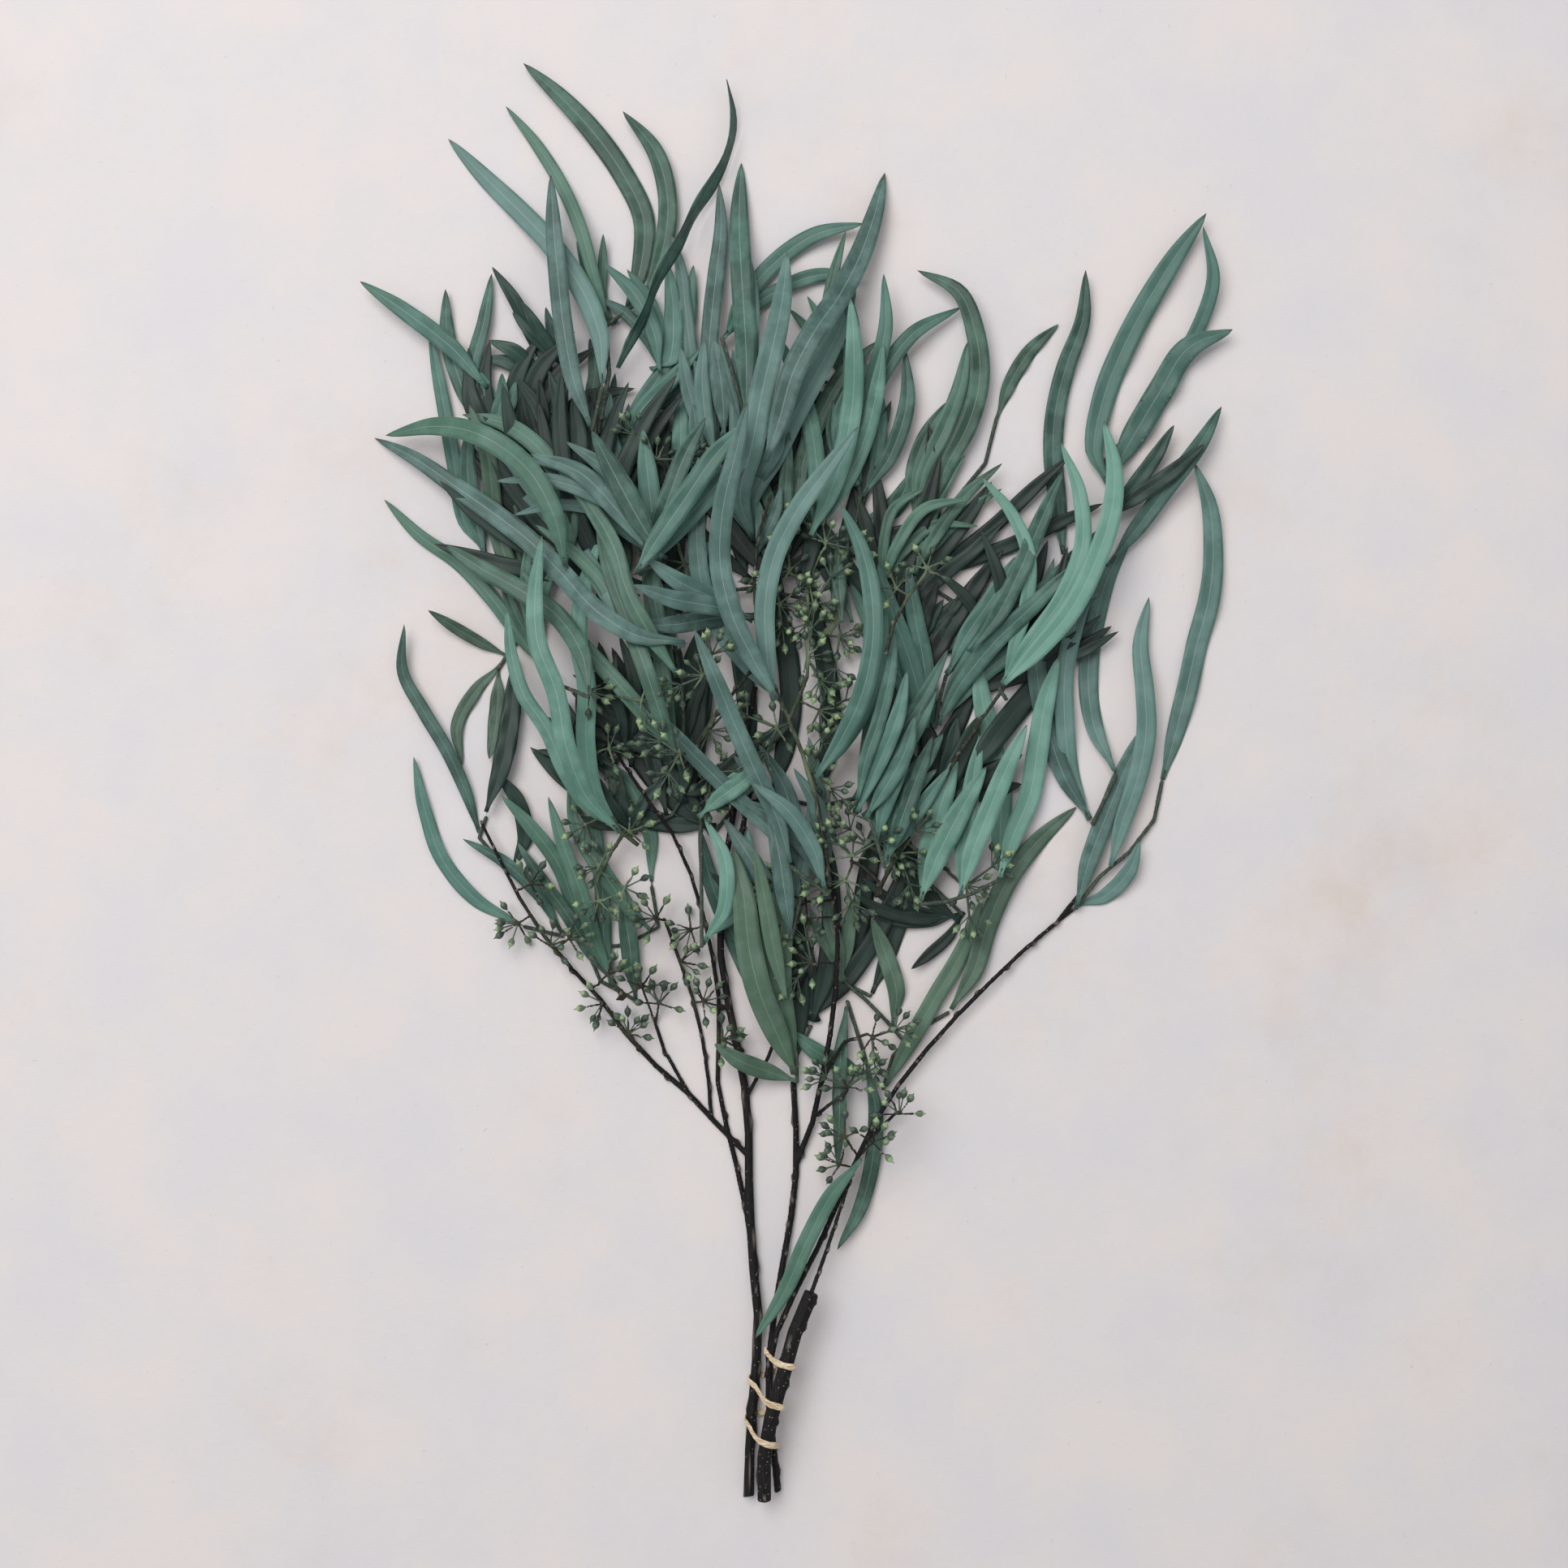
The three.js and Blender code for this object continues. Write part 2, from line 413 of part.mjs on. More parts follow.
const PIECES = [
  piece("leaves_far_left", "teal", { leaves: [
    leaf(7.5, 0, [-150, 472], [-156, 500], [-162, 535], [-167, 562], [-171, 583]),
    leaf(9, 0, [-143, 468], [-149, 495], [-152, 520], [-150, 537]),
    leaf(8, 0, [-141, 490], [-133, 510], [-129, 540], [-129, 566]),
    leaf(7, 0, [-141, 530], [-135, 546], [-134, 561]),
    leaf(8.5, 0, [-146, 533], [-152, 548], [-160, 570], [-163, 588], [-163, 604]),
    leaf(7, 0, [-149, 545], [-150, 560], [-145, 580], [-142, 598], [-140, 612]),
    leaf(9, 0, [-140, 552], [-155, 570], [-172, 584], [-190, 597], [-205, 607]),
  ] }),
  piece("leaves_upper_left", "dark", { leaves: [
    leaf(8, 0, [-112, 550], [-121, 566], [-131, 574], [-141, 578]),
    leaf(7, 0, [-108, 560], [-121, 583], [-129, 600], [-139, 614]),
    leaf(6, 0, [-104, 565], [-116, 583], [-124, 596]),
  ] }),
  piece("leaves_left_shade", "dark", { leaves: [
    leaf(9.5, 0, [-112, 508], [-120, 522], [-122, 540], [-118, 558], [-110, 571], [-98, 582]),
    leaf(6.5, 0, [-108, 505], [-111, 520], [-113, 540], [-115, 558]),
    leaf(8, 0, [-104, 508], [-103, 530], [-106, 548], [-110, 561]),
    leaf(9, 0, [-95, 500], [-95, 525], [-98, 547]),
    leaf(9, 0, [-95, 470], [-110, 490], [-125, 520], [-133, 555]),
    leaf(9, 0, [-85, 455], [-98, 480], [-108, 510], [-115, 545]),
    leaf(9, 0, [-70, 440], [-85, 465], [-98, 495], [-104, 530], [-103, 560]),
    leaf(9, 0, [-72, 448], [-76, 490], [-82, 525], [-78, 562]),
  ] }),
  piece("leaves_left_outward", "olive", { leaves: [
    leaf(9, 0, [-118, 440], [-130, 462], [-138, 490], [-141, 520], [-150, 545]),
    leaf(6, 0, [-133, 421], [-145, 427], [-157, 434], [-171, 443]),
    leaf(7, 0, [-136, 418], [-146, 406], [-154, 394], [-158, 382], [-155, 366]),
    leaf(8, 0, [-137, 414], [-137, 400], [-138, 385], [-141, 369]),
  ] }),
  piece("leaves_low_left", "dark", { leaves: [
    leaf(8, 0, [-130, 313], [-124, 325], [-124, 339], [-129, 352], [-138, 363]),
    leaf(10, 0, [-143, 340], [-138, 352], [-134, 367], [-131, 385], [-129, 400], [-128, 420]),
    leaf(7, 0, [-147, 331], [-150, 345], [-156, 360], [-164, 377], [-173, 392], [-183, 405], [-183, 436]),
  ] }),
  piece("leaves_low_left_tips", "teal", { leaves: [
    leaf(6.5, 0, [-104, 280], [-109, 291], [-118, 303], [-130, 314], [-142, 325], [-154, 329]),
    leaf(7.5, 0, [-124, 285], [-137, 291], [-150, 300], [-161, 312], [-169, 328], [-174, 345], [-179, 370]),
  ] }),
  piece("leaves_low_centre_left", "green", { leaves: [
    leaf(8, 0, [-95, 272], [-97, 288], [-101, 303], [-107, 318], [-116, 331], [-134, 351]),
    leaf(8, 0, [-79, 252], [-85, 268], [-90, 285], [-94, 300], [-99, 315], [-105, 330], [-111, 350]),
    leaf(9, 0, [-68, 248], [-70, 268], [-72, 285], [-75, 300]),
    leaf(9, 0, [-58, 280], [-68, 291], [-77, 303], [-86, 316], [-94, 330], [-100, 345], [-101, 360]),
    leaf(8, 0, [-60, 305], [-60, 322], [-62, 338], [-69, 353], [-80, 364], [-95, 372]),
  ] }),
  piece("leaves_middle_shade", "dark", { leaves: [
    leaf(11, 0, [-30, 330], [-40, 355], [-44, 385], [-40, 415], [-32, 440]),
    leaf(10, 0, [-20, 345], [-14, 370], [-12, 400], [-18, 430], [-20, 460]),
    leaf(11, 0, [0, 350], [8, 380], [10, 410], [4, 440], [2, 470]),
    leaf(10, 0, [20, 345], [28, 370], [30, 400], [24, 430], [20, 460]),
    leaf(10, 0, [45, 350], [50, 375], [60, 400], [66, 430], [64, 460]),
  ] }),
  piece("leaves_centre_under", "dark", { leaves: [
    leaf(10, 0, [-45, 440], [-52, 470], [-55, 505], [-52, 545]),
    leaf(9, 0, [-35, 450], [-38, 485], [-30, 520], [-22, 560]),
    leaf(10, 0, [-12, 455], [-18, 490], [-20, 525], [-18, 565]),
    leaf(10, 0, [0, 450], [2, 485], [8, 520], [16, 560]),
    leaf(10, 0, [15, 450], [22, 485], [26, 520], [22, 560]),
    leaf(9, 0, [30, 445], [38, 480], [48, 515], [60, 548]),
  ] }),
  piece("leaves_lower_centre", "dark", { leaves: [
    leaf(9, 0, [-5, 240], [-14, 270], [-28, 300], [-36, 335]),
    leaf(11, 0, [10, 215], [14, 245], [10, 280], [4, 320]),
    leaf(10, 0, [20, 235], [28, 265], [30, 300], [24, 340]),
    leaf(10, 0, [40, 260], [45, 290], [50, 320], [60, 350]),
    leaf(9, 0, [50, 250], [62, 280], [72, 310], [88, 335]),
  ] }),
  piece("leaves_middle_under", "dark", { leaves: [
    leaf(10, 0, [-40, 345], [-44, 370], [-50, 400], [-56, 430]),
    leaf(9, 0, [-52, 340], [-58, 365], [-68, 395], [-80, 425]),
    leaf(9, 0, [-60, 335], [-76, 352], [-92, 372], [-104, 400]),
    leaf(8, 0, [-47, 366], [-51, 380], [-56, 395], [-61, 415], [-66, 430]),
    leaf(7, 0, [-72, 367], [-69, 387], [-68, 402], [-69, 418], [-75, 430]),
    leaf(6, 0, [-71, 377], [-75, 393], [-78, 408], [-77, 421]),
    leaf(6, 0, [-84, 367], [-91, 378], [-94, 390], [-97, 402]),
    leaf(6, 0, [-69, 332], [-75, 340], [-82, 350], [-86, 360]),
  ] }),
  piece("leaves_lower_stem", "green", { leaves: [
    leaf(8, 0, [48, 216], [52, 203], [52, 187], [51, 170], [48, 155], [43, 141], [33, 124]),
    leaf(9, 0, [50, 208], [35, 216], [22, 223], [10, 233]),
    leaf(7.5, 20, [38, 248], [36, 232], [34, 215], [34, 197], [34, 180], [33, 165]),
  ] }),
  piece("leaves_lower_right", "olive", {
    twigs: [twig([1, 1], [56, 203], [62, 222], [74, 233], [89, 242]), twig([1, 1], [66, 228], [52, 244], [36, 258])],
    leaves: [
    leaf(9, 0, [56, 203], [63, 216], [72, 232], [81, 248], [91, 264], [99, 280], [106, 300]),
    leaf(9, 0, [64, 237], [62, 256], [57, 272], [50, 290]),
    leaf(7, 0, [36, 258], [33, 275], [29, 290], [28, 305]),
    leaf(10.5, 0, [89, 242], [101, 262], [108, 285], [118, 308], [134, 328], [153, 345]),
  ] }),
  piece("leaves_right_shade", "dark", { leaves: [
    leaf(6.5, 0, [96, 291], [80, 289], [66, 290], [52, 295], [40, 302]),
    leaf(6, 0, [98, 291], [89, 280], [80, 272], [70, 264]),
    leaf(10, 0, [60, 330], [70, 350], [84, 372], [96, 392], [104, 410]),
    leaf(10, 0, [83, 345], [90, 360], [97, 375], [103, 390]),
    leaf(12, 0, [96, 358], [108, 375], [118, 389], [132, 403], [150, 432]),
  ] }),
  piece("stem_left", "bark", {
    twigs: [
      twig([2.6, 1.3], [-11, 1], [-10.5, 30], [-8, 60], [-6.5, 90], [-9, 115], [-11, 150], [-12, 195], [-18, 230],
        [-25, 268], [-25, 300], [-20, 335], [-14, 372], [-8, 405]),
      twig([1.3, 0.8], [-10, 124], [-15, 155], [-22, 183], [-27, 208], [-26, 245], [-31, 278], [-38, 305],
        [-50, 333], [-68, 357], [-84, 385]),
      twig([1.4, 0.8], [-11, 170], [-20, 178], [-38, 198], [-66, 223], [-86, 249], [-105, 270], [-120, 290],
        [-132, 312], [-145, 338]),
      twig([1.0, 0.8], [-41, 201], [-55, 226], [-58, 236]),
      twig([1.0, 0.8], [-29, 190], [-33, 220], [-39, 248], [-48, 274], [-53, 288]),
      twig([1.0, 0.8], [-12, 199], [-4, 214], [3, 232], [10, 248], [18, 262]),
    ],
    umbels: [umbel(4, -119, 307), umbel(3, -126, 287), umbel(4, -110, 276), umbel(4, -100, 280),
      umbel(4, -81, 262), umbel(4, -84, 247), umbel(5, -71, 232), umbel(5, -64, 256), umbel(4, -56, 247),
      umbel(4, -34, 248), umbel(4, -24, 229), umbel(4, -45, 268), umbel(4, -40, 284), umbel(4, -57, 290)],
  }),
  piece("stem_middle", "bark", {
    twigs: [
      twig([1.7, 1.5], [3.4, 3], [1.5, 22], [-1, 45], [-1.5, 62], [1, 88], [5, 112], [10, 140], [13, 170],
        [12, 190], [11, 207]),
      twig([1.5, 1.0], [14, 166], [20, 185], [26, 213], [31, 243], [33, 275], [31, 303], [24, 340], [17, 367]),
      twig([1.1, 0.8], [27, 205], [32, 222], [40, 231], [48, 232]),
      twig([1.0, 0.8], [22, 190], [30, 198], [38, 204]),
    ],
    umbels: [umbel(4, 20, 268), umbel(5, 50, 231), umbel(4, 38, 206), umbel(4, 8, 289), umbel(4, 17, 298)],
  }),
  piece("stem_right", "bark", {
    twigs: [
      twig([1.5, 0.9], [-2.2, 62], [4, 88], [15, 110], [26, 131], [40, 163], [54, 192], [72, 217], [95, 243], [125, 272],
        [143, 287], [158, 306], [166, 326]),
      twig([1.0, 0.8], [47, 179], [56, 186], [63, 193]),
      twig([0.9, 0.8], [142, 286], [152, 294]),
    ],
    umbels: [umbel(4, 63, 195), umbel(3, 34, 168)],
  }),
  piece("stem_cut_thick", "bark", { twigs: [
    twig([3.6, 3.9], [-3.4, 1], [-2.8, 32], [3.5, 55], [9, 76], [14, 92], [20, 105]),
    twig([1.1, 0.8], [19, 103], [24, 116], [30, 133], [37, 154], [43, 172]),
  ], umbels: [umbel(4, 36, 184), umbel(4, 50, 181)] }),
  piece("twig_bare_cut", "bark", { twigs: [twig([1.5, 1.2], [-18, 313], [-14, 335], [-10, 356], [-5, 378])] }),
  piece("leaves_lower_fold", "olive", { twigs: [twig([1, 1], [13, 207], [12, 228], [8, 248])], leaves: [
    leaf(13, 0, [12, 210], [4, 230], [-3, 247], [-9, 265], [-12, 285], [-14, 305], [-19, 325]),
    leaf(8, 0, [8, 248], [3, 267], [0, 285], [-4, 305], [-8, 325]),
    leaf(9, 0, [13, 208], [5, 211], [-6, 215], [-18, 221], [-28, 228]),
  ] }),
  piece("leaf_lower_long", "green", { leaves: [
    leaf(8.5, 0, [46, 174], [38, 163], [29, 152], [21, 138], [15, 124], [9, 110], [3, 98], [-8, 82]),
  ] }),
  piece("buds_left", "fruiting", {
    twigs: [twig([1.1, 0.8], [-66, 326], [-74, 331], [-88, 345], [-96, 362], [-100, 385], [-90, 402]),
      twig([1.0, 0.8], [-74, 331], [-82, 318], [-87, 308])],
    umbels: [umbel(4, -85, 316), umbel(4, -85, 299), umbel(3, -71, 306), umbel(4, -70, 333), umbel(3, -92, 336),
      umbel(4, -89, 402), umbel(3, -80, 374), umbel(3, -63, 397)],
  }),
  piece("buds_right_low", "fruiting", {
    twigs: [twig([1.1, 0.8], [52, 300], [58, 312], [72, 340], [88, 362], [104, 388], [126, 417]),
      twig([1.0, 0.8], [66, 328], [84, 316], [95, 307]),
      twig([1.0, 0.8], [55, 306], [46, 315], [40, 318])],
    umbels: [umbel(5, 40, 321), umbel(5, 48, 326), umbel(4, 64, 322), umbel(5, 97, 306), umbel(4, 37, 309)],
  }),
  piece("leaves_left_fan", "green", { leaves: [
    leaf(6, 0, [-113, 418], [-119, 432], [-122, 455], [-121, 472], [-119, 483]),
    leaf(7.5, 0, [-115, 412], [-127, 432], [-143, 453], [-160, 470], [-180, 484], [-194, 499]),
    leaf(10, 0, [-87, 398], [-92, 420], [-103, 437], [-120, 450], [-140, 461], [-163, 476]),
  ] }),
  piece("leaves_left_inner", "green", { twigs: [twig([1, 1], [-46, 366], [-43, 395], [-48, 426])], leaves: [
    leaf(8.5, 0, [-48, 368], [-52, 385], [-58, 405], [-67, 428], [-77, 455], [-84, 475], [-86, 487]),
    leaf(8, 0, [-50, 425], [-52, 445], [-47, 465]),
    leaf(8.5, 0, [-45, 408], [-58, 428], [-68, 445], [-74, 465], [-82, 483], [-93, 498], [-105, 512]),
  ] }),
  piece("leaves_left_shoulder", "slate", { leaves: [
    leaf(7, 0, [-62, 478], [-78, 492], [-92, 501], [-110, 505], [-135, 505]),
    leaf(9, 0, [-60, 470], [-75, 490], [-90, 506], [-103, 513], [-117, 517]),
    leaf(7.5, 0, [-62, 490], [-72, 510], [-80, 530], [-80, 551]),
  ] }),
  piece("leaf_left_slate_long", "slate", { leaves: [
    leaf(10.5, 0, [-40, 425], [-58, 426], [-78, 435], [-95, 451], [-110, 468], [-130, 485], [-155, 503],
      [-178, 519], [-199, 530]),
  ] }),
  piece("leaf_left_arch", "green", { leaves: [
    leaf(11, 0, [-100, 460], [-104, 482], [-112, 502], [-127, 517], [-148, 529], [-170, 533], [-192, 530]),
  ] }),
  piece("leaf_left_top", "mint", { leaves: [
    leaf(9.5, 0, [-73, 331], [-85, 342], [-96, 362], [-101, 385], [-105, 405], [-113, 425], [-115, 450],
      [-112, 478]),
  ] }),
  piece("leaves_top_left_spray", "green", {
    twigs: [twig([1.3, 1.0], [-84, 536], [-80, 565], [-82, 586], [-73, 591], [-64, 600])],
    leaves: [
      leaf(7, 0, [-90, 540], [-88, 560], [-91, 580]),
      leaf(5, 0, [-87, 598], [-92, 612], [-97, 627]),
      leaf(7, 0, [-83, 588], [-90, 615], [-98, 642], [-110, 665], [-122, 683], [-133, 696]),
      leaf(11, 0, [-73, 592], [-64, 622], [-64, 640], [-76, 665], [-98, 693], [-124, 717]),
      leaf(9.5, 0, [-64, 600], [-56, 618], [-52, 638], [-53, 658], [-61, 678], [-74, 692]),
    ],
  }),
  piece("leaves_top_left_pair", "slate", { leaves: [
    leaf(11, 0, [-83, 552], [-84, 575], [-92, 598], [-104, 618], [-120, 637], [-142, 659], [-162, 680]),
    leaf(9.5, 0, [-88, 530], [-97, 555], [-103, 590], [-107, 625], [-109, 658]),
  ] }),
  piece("leaves_top_inner", "teal", { leaves: [
    leaf(8.5, 0, [-50, 492], [-46, 512], [-45, 535], [-46, 556]),
    leaf(10, 0, [-57, 523], [-55, 545], [-50, 570], [-49, 595], [-52, 618]),
    leaf(8, 0, [-55, 560], [-58, 580], [-68, 600], [-83, 615]),
    leaf(8, 0, [-76, 528], [-62, 545], [-47, 560], [-35, 573]),
  ] }),
  piece("leaf_top_edge_on", "dark", { leaves: [
    leaf(9, 62, [-77, 560], [-69, 575], [-60, 597], [-50, 617], [-35, 647], [-22, 670], [-18, 688], [-22, 708]),
  ] }),
  piece("leaves_top_centre_left", "slate", { leaves: [
    leaf(8, 0, [-36, 505], [-36, 522], [-39, 545]),
    leaf(9, 0, [-27, 519], [-31, 540], [-31, 570], [-28, 605], [-25, 635], [-26, 656]),
    leaf(8, 0, [-27, 518], [-32, 535], [-34, 555], [-33, 575]),
    leaf(10, 0, [-24, 530], [-24, 550], [-28, 575]),
    leaf(5, 0, [-15, 535], [-20, 553], [-25, 572]),
  ] }),
  piece("leaves_top_centre", "teal", { leaves: [
    leaf(9, 0, [-24, 575], [-18, 590], [-9, 606], [5, 620], [22, 631], [46, 636]),
    leaf(11, 0, [-12, 535], [-12, 565], [-14, 600], [-16, 635], [-15, 668]),
  ] }),
  piece("leaves_top_centre_right", "green", { leaves: [
    leaf(6, 0, [41, 553], [33, 574], [25, 588], [18, 600]),
    leaf(6, 0, [22, 560], [28, 595], [33, 618], [37, 631]),
    leaf(9, 0, [5, 470], [12, 500], [20, 530], [31, 553], [45, 573], [53, 578]),
    leaf(7, 0, [3, 472], [7, 500], [9, 530]),
  ] }),
  piece("leaves_centre_stack", "slate", { twigs: [twig([1, 1], [-8, 468], [-8, 485], [-9, 502])], leaves: [
    leaf(6, 0, [-8, 470], [1, 487], [5, 503]),
    leaf(8, 0, [-9, 500], [-3, 513], [3, 523], [6, 533]),
    leaf(12, 0, [-8, 475], [-16, 491], [-11, 512], [-6, 540], [1, 570], [6, 598], [8, 621]),
  ] }),
  piece("leaves_right_inner", "teal", { leaves: [
    leaf(10, 0, [42, 486], [55, 490], [65, 500], [70, 512]),
    leaf(8.5, 0, [46, 498], [55, 513], [64, 530], [68, 550], [67, 573]),
    leaf(8, 0, [41, 505], [36, 520], [34, 538], [38, 556]),
    leaf(8, 0, [45, 530], [52, 553], [62, 571], [76, 585], [95, 595]),
    leaf(8, 0, [40, 505], [44, 525], [50, 555], [57, 585], [56, 610]),
  ] }),
  piece("leaves_right_shoulder", "green", { twigs: [
    twig([1, 1], [71, 490], [84, 493], [100, 507], [110, 523], [113, 540]),
  ], leaves: [
    leaf(8, 0, [71, 492], [71, 512], [77, 530], [88, 548]),
    leaf(9, 0, [72, 492], [77, 515], [87, 535], [95, 557], [98, 577]),
    leaf(10, 0, [79, 497], [90, 520], [100, 540], [104, 560], [102, 580], [95, 600], [73, 613]),
    leaf(7.5, 0, [113, 539], [121, 560], [131, 575], [144, 587]),
  ] }),
  piece("leaves_right_edge", "slate", { twigs: [
    twig([1, 1], [152, 294], [160, 305], [169, 315], [182, 325], [193, 341], [196, 358]),
  ], leaves: [
    leaf(10, 0, [152, 294], [160, 322], [168, 342], [177, 364], [188, 388]),
    leaf(8, 0, [154, 294], [167, 300], [178, 312], [184, 328]),
    leaf(10, 0, [168, 315], [176, 340], [184, 365], [187, 392], [184, 420], [189, 450]),
    leaf(11, 0, [196, 357], [205, 390], [213, 425], [220, 455], [220, 490], [211, 517]),
  ] }),
  piece("leaves_right_pair", "slate", { leaves: [
    leaf(10, 0, [172, 361], [162, 385], [159, 410], [163, 440], [171, 465], [181, 482]),
    leaf(9.5, 0, [160, 336], [152, 355], [147, 385], [147, 415], [153, 440], [165, 465]),
  ] }),
  piece("leaves_upper_right", "dark", { leaves: [
    leaf(9, 0, [168, 465], [187, 490], [200, 508], [213, 525], [225, 545]),
    leaf(8, 0, [168, 488], [180, 498], [195, 508], [215, 525]),
    leaf(12, 0, [159, 507], [163, 530], [168, 555], [180, 582], [198, 614], [217, 641]),
    leaf(7.5, 0, [183, 536], [206, 573], [217, 590], [220, 610], [215, 634]),
    leaf(13, 0, [168, 508], [178, 525], [190, 545], [205, 570], [217, 582], [230, 583]),
    leaf(10, 0, [146, 468], [144, 495], [141, 530], [146, 560], [156, 590], [157, 613]),
  ] }),
  piece("leaves_right_lower_fan", "mint", { leaves: [
    leaf(11, 0, [73, 297], [82, 320], [92, 340], [107, 365]),
    leaf(10, 0, [93, 300], [100, 325], [108, 345], [117, 365], [127, 386]),
    leaf(11, 0, [112, 309], [118, 325], [129, 350], [133, 375], [136, 395], [143, 420]),
  ] }),
  piece("leaves_right_middle", "dark", { leaves: [
    leaf(10, 0, [72, 400], [85, 428], [100, 452], [116, 474]),
    leaf(9, 0, [92, 395], [108, 420], [126, 446], [138, 478]),
    leaf(9, 0, [62, 430], [66, 460], [76, 490], [84, 520]),
    leaf(8, 0, [70, 418], [74, 432], [78, 445], [83, 458]),
    leaf(7.5, 0, [80, 460], [97, 474], [113, 487], [131, 504], [149, 520]),
    leaf(7, 0, [110, 410], [127, 428], [141, 452], [147, 474]),
  ] }),
  piece("leaves_right_parallel", "teal", { leaves: [
    leaf(9, 0, [82, 384], [95, 407], [112, 428], [132, 447], [150, 465]),
    leaf(9, 0, [87, 410], [100, 435], [112, 452], [122, 470]),
    leaf(9, 0, [97, 420], [112, 440], [122, 460], [133, 485], [145, 512]),
  ] }),
  piece("leaves_right_bright", "mint", { leaves: [
    leaf(8.5, 0, [113, 404], [126, 424], [142, 446], [152, 470], [153, 495], [143, 525]),
    leaf(10.5, 0, [112, 405], [127, 418], [146, 440], [160, 468], [168, 495], [170, 520], [166, 538]),
  ] }),
  piece("leaves_right_arches", "green", { leaves: [
    leaf(6.5, 0, [70, 460], [80, 477], [90, 492], [102, 506], [115, 516]),
    leaf(6, 0, [54, 452], [60, 470], [70, 486], [79, 495], [99, 498]),
  ] }),
  piece("leaves_centre_lower_fan", "teal", { leaves: [
    leaf(9.5, 0, [75, 368], [76, 381], [75, 395], [71, 412], [65, 430], [58, 448], [53, 466]),
    leaf(8.5, 0, [55, 316], [62, 333], [68, 348], [73, 362], [80, 380]),
    leaf(8, 0, [50, 328], [56, 345], [62, 360], [70, 375]),
    leaf(8.5, 0, [47, 341], [53, 349], [60, 362], [67, 375], [71, 390]),
    leaf(8, 0, [38, 334], [47, 353], [53, 367], [59, 381], [64, 397], [67, 412]),
    leaf(7, 0, [40, 350], [47, 370], [52, 385], [56, 400], [59, 415], [61, 432]),
  ] }),
  piece("leaves_centre_pair", "slate", { leaves: [
    leaf(9, 0, [15, 303], [14, 320], [12, 335], [8, 350], [3, 364], [-6, 376]),
    leaf(9, 0, [10, 280], [8, 296], [5, 312], [3, 328], [-1, 345]),
  ] }),
  piece("buds_centre", "fruiting", {
    twigs: [twig([1.2, 0.8], [29, 306], [25, 335], [20, 358], [9, 388], [-3, 415], [-8, 445], [-7, 475], [0, 499]),
      twig([1.0, 0.8], [9, 388], [17, 405], [19, 430], [18, 455]),
      twig([1.0, 0.8], [-4, 420], [-20, 400], [-32, 385], [-40, 372]),
      twig([1.0, 0.8], [-8, 440], [-30, 440], [-40, 458], [-50, 485], [-57, 510])],
    leaves: [leaf(7, 0, [22, 420], [32, 438], [34, 458], [33, 478])],
    umbels: [umbel(4, -57, 517), umbel(4, -43, 466), umbel(4, -44, 371), umbel(4, -30, 362), umbel(4, -31, 383), umbel(4, -33, 409), umbel(5, 3, 384),
      umbel(4, 24, 393), umbel(3, 20, 362), umbel(5, 18, 419), umbel(4, 34, 430),
      umbel(4, 4, 446), umbel(5, 21, 446), umbel(5, 9, 462), umbel(4, 27, 476)],
  }),
  piece("buds_right", "fruiting", {
    twigs: [twig([1.0, 0.8], [56, 420], [62, 440], [70, 452], [76, 460])],
    umbels: [umbel(5, 77, 463), umbel(4, 62, 453)],
  }),
  piece("leaf_centre_right_top", "teal", { leaves: [
    leaf(9.5, 0, [21, 358], [31, 372], [38, 386], [45, 402], [49, 420], [50, 440], [48, 458], [44, 473], [34, 494]),
  ] }),
  piece("leaves_across", "slate", { leaves: [
    leaf(9, 0, [-8, 438], [-18, 443], [-30, 443], [-48, 446], [-66, 452]),
    leaf(6, 0, [-30, 445], [-35, 463], [-31, 477]),
  ] }),
  piece("leaves_left_cross", "teal", { leaves: [
    leaf(11, 0, [-52, 465], [-63, 483], [-75, 505], [-87, 528]),
    leaf(10.5, 0, [-66, 458], [-52, 480], [-38, 500], [-24, 520], [-12, 532]),
  ] }),
  piece("leaves_centre_low", "mint", { leaves: [
    leaf(7.5, 0, [-34, 276], [-26, 287], [-22, 300], [-22, 315], [-26, 330], [-33, 340]),
    leaf(9, 0, [-35, 341], [-26, 349], [-16, 356], [-5, 366]),
  ] }),
  piece("leaves_centre_cross", "slate", { leaves: [
    leaf(9, 0, [10, 316], [7, 330], [2, 342], [-4, 355], [-11, 370], [-17, 384], [-24, 400], [-30, 416], [-37, 431]),
    leaf(8, 0, [27, 303], [24, 316], [19, 328], [12, 339], [3, 349], [-9, 357]),
  ] }),
  piece("leaf_centre_top", "slate", { leaves: [
    leaf(10.5, 0, [4, 396], [-10, 420], [-21, 445], [-25, 470], [-23, 490], [-17, 515], [-11, 540]),
  ] }),
  piece("leaf_top_diagonal", "slate", { leaves: [
    leaf(12, 0, [-3, 512], [3, 530], [10, 555], [23, 580], [38, 605], [50, 635], [57, 663]),
  ] }),
  piece("leaf_top_bright", "mint", { leaves: [
    leaf(10, 0, [19, 478], [29, 500], [37, 525], [41, 555], [39, 594]),
  ] }),
];

// ---- The tie: one flat strand wound round the stems ----

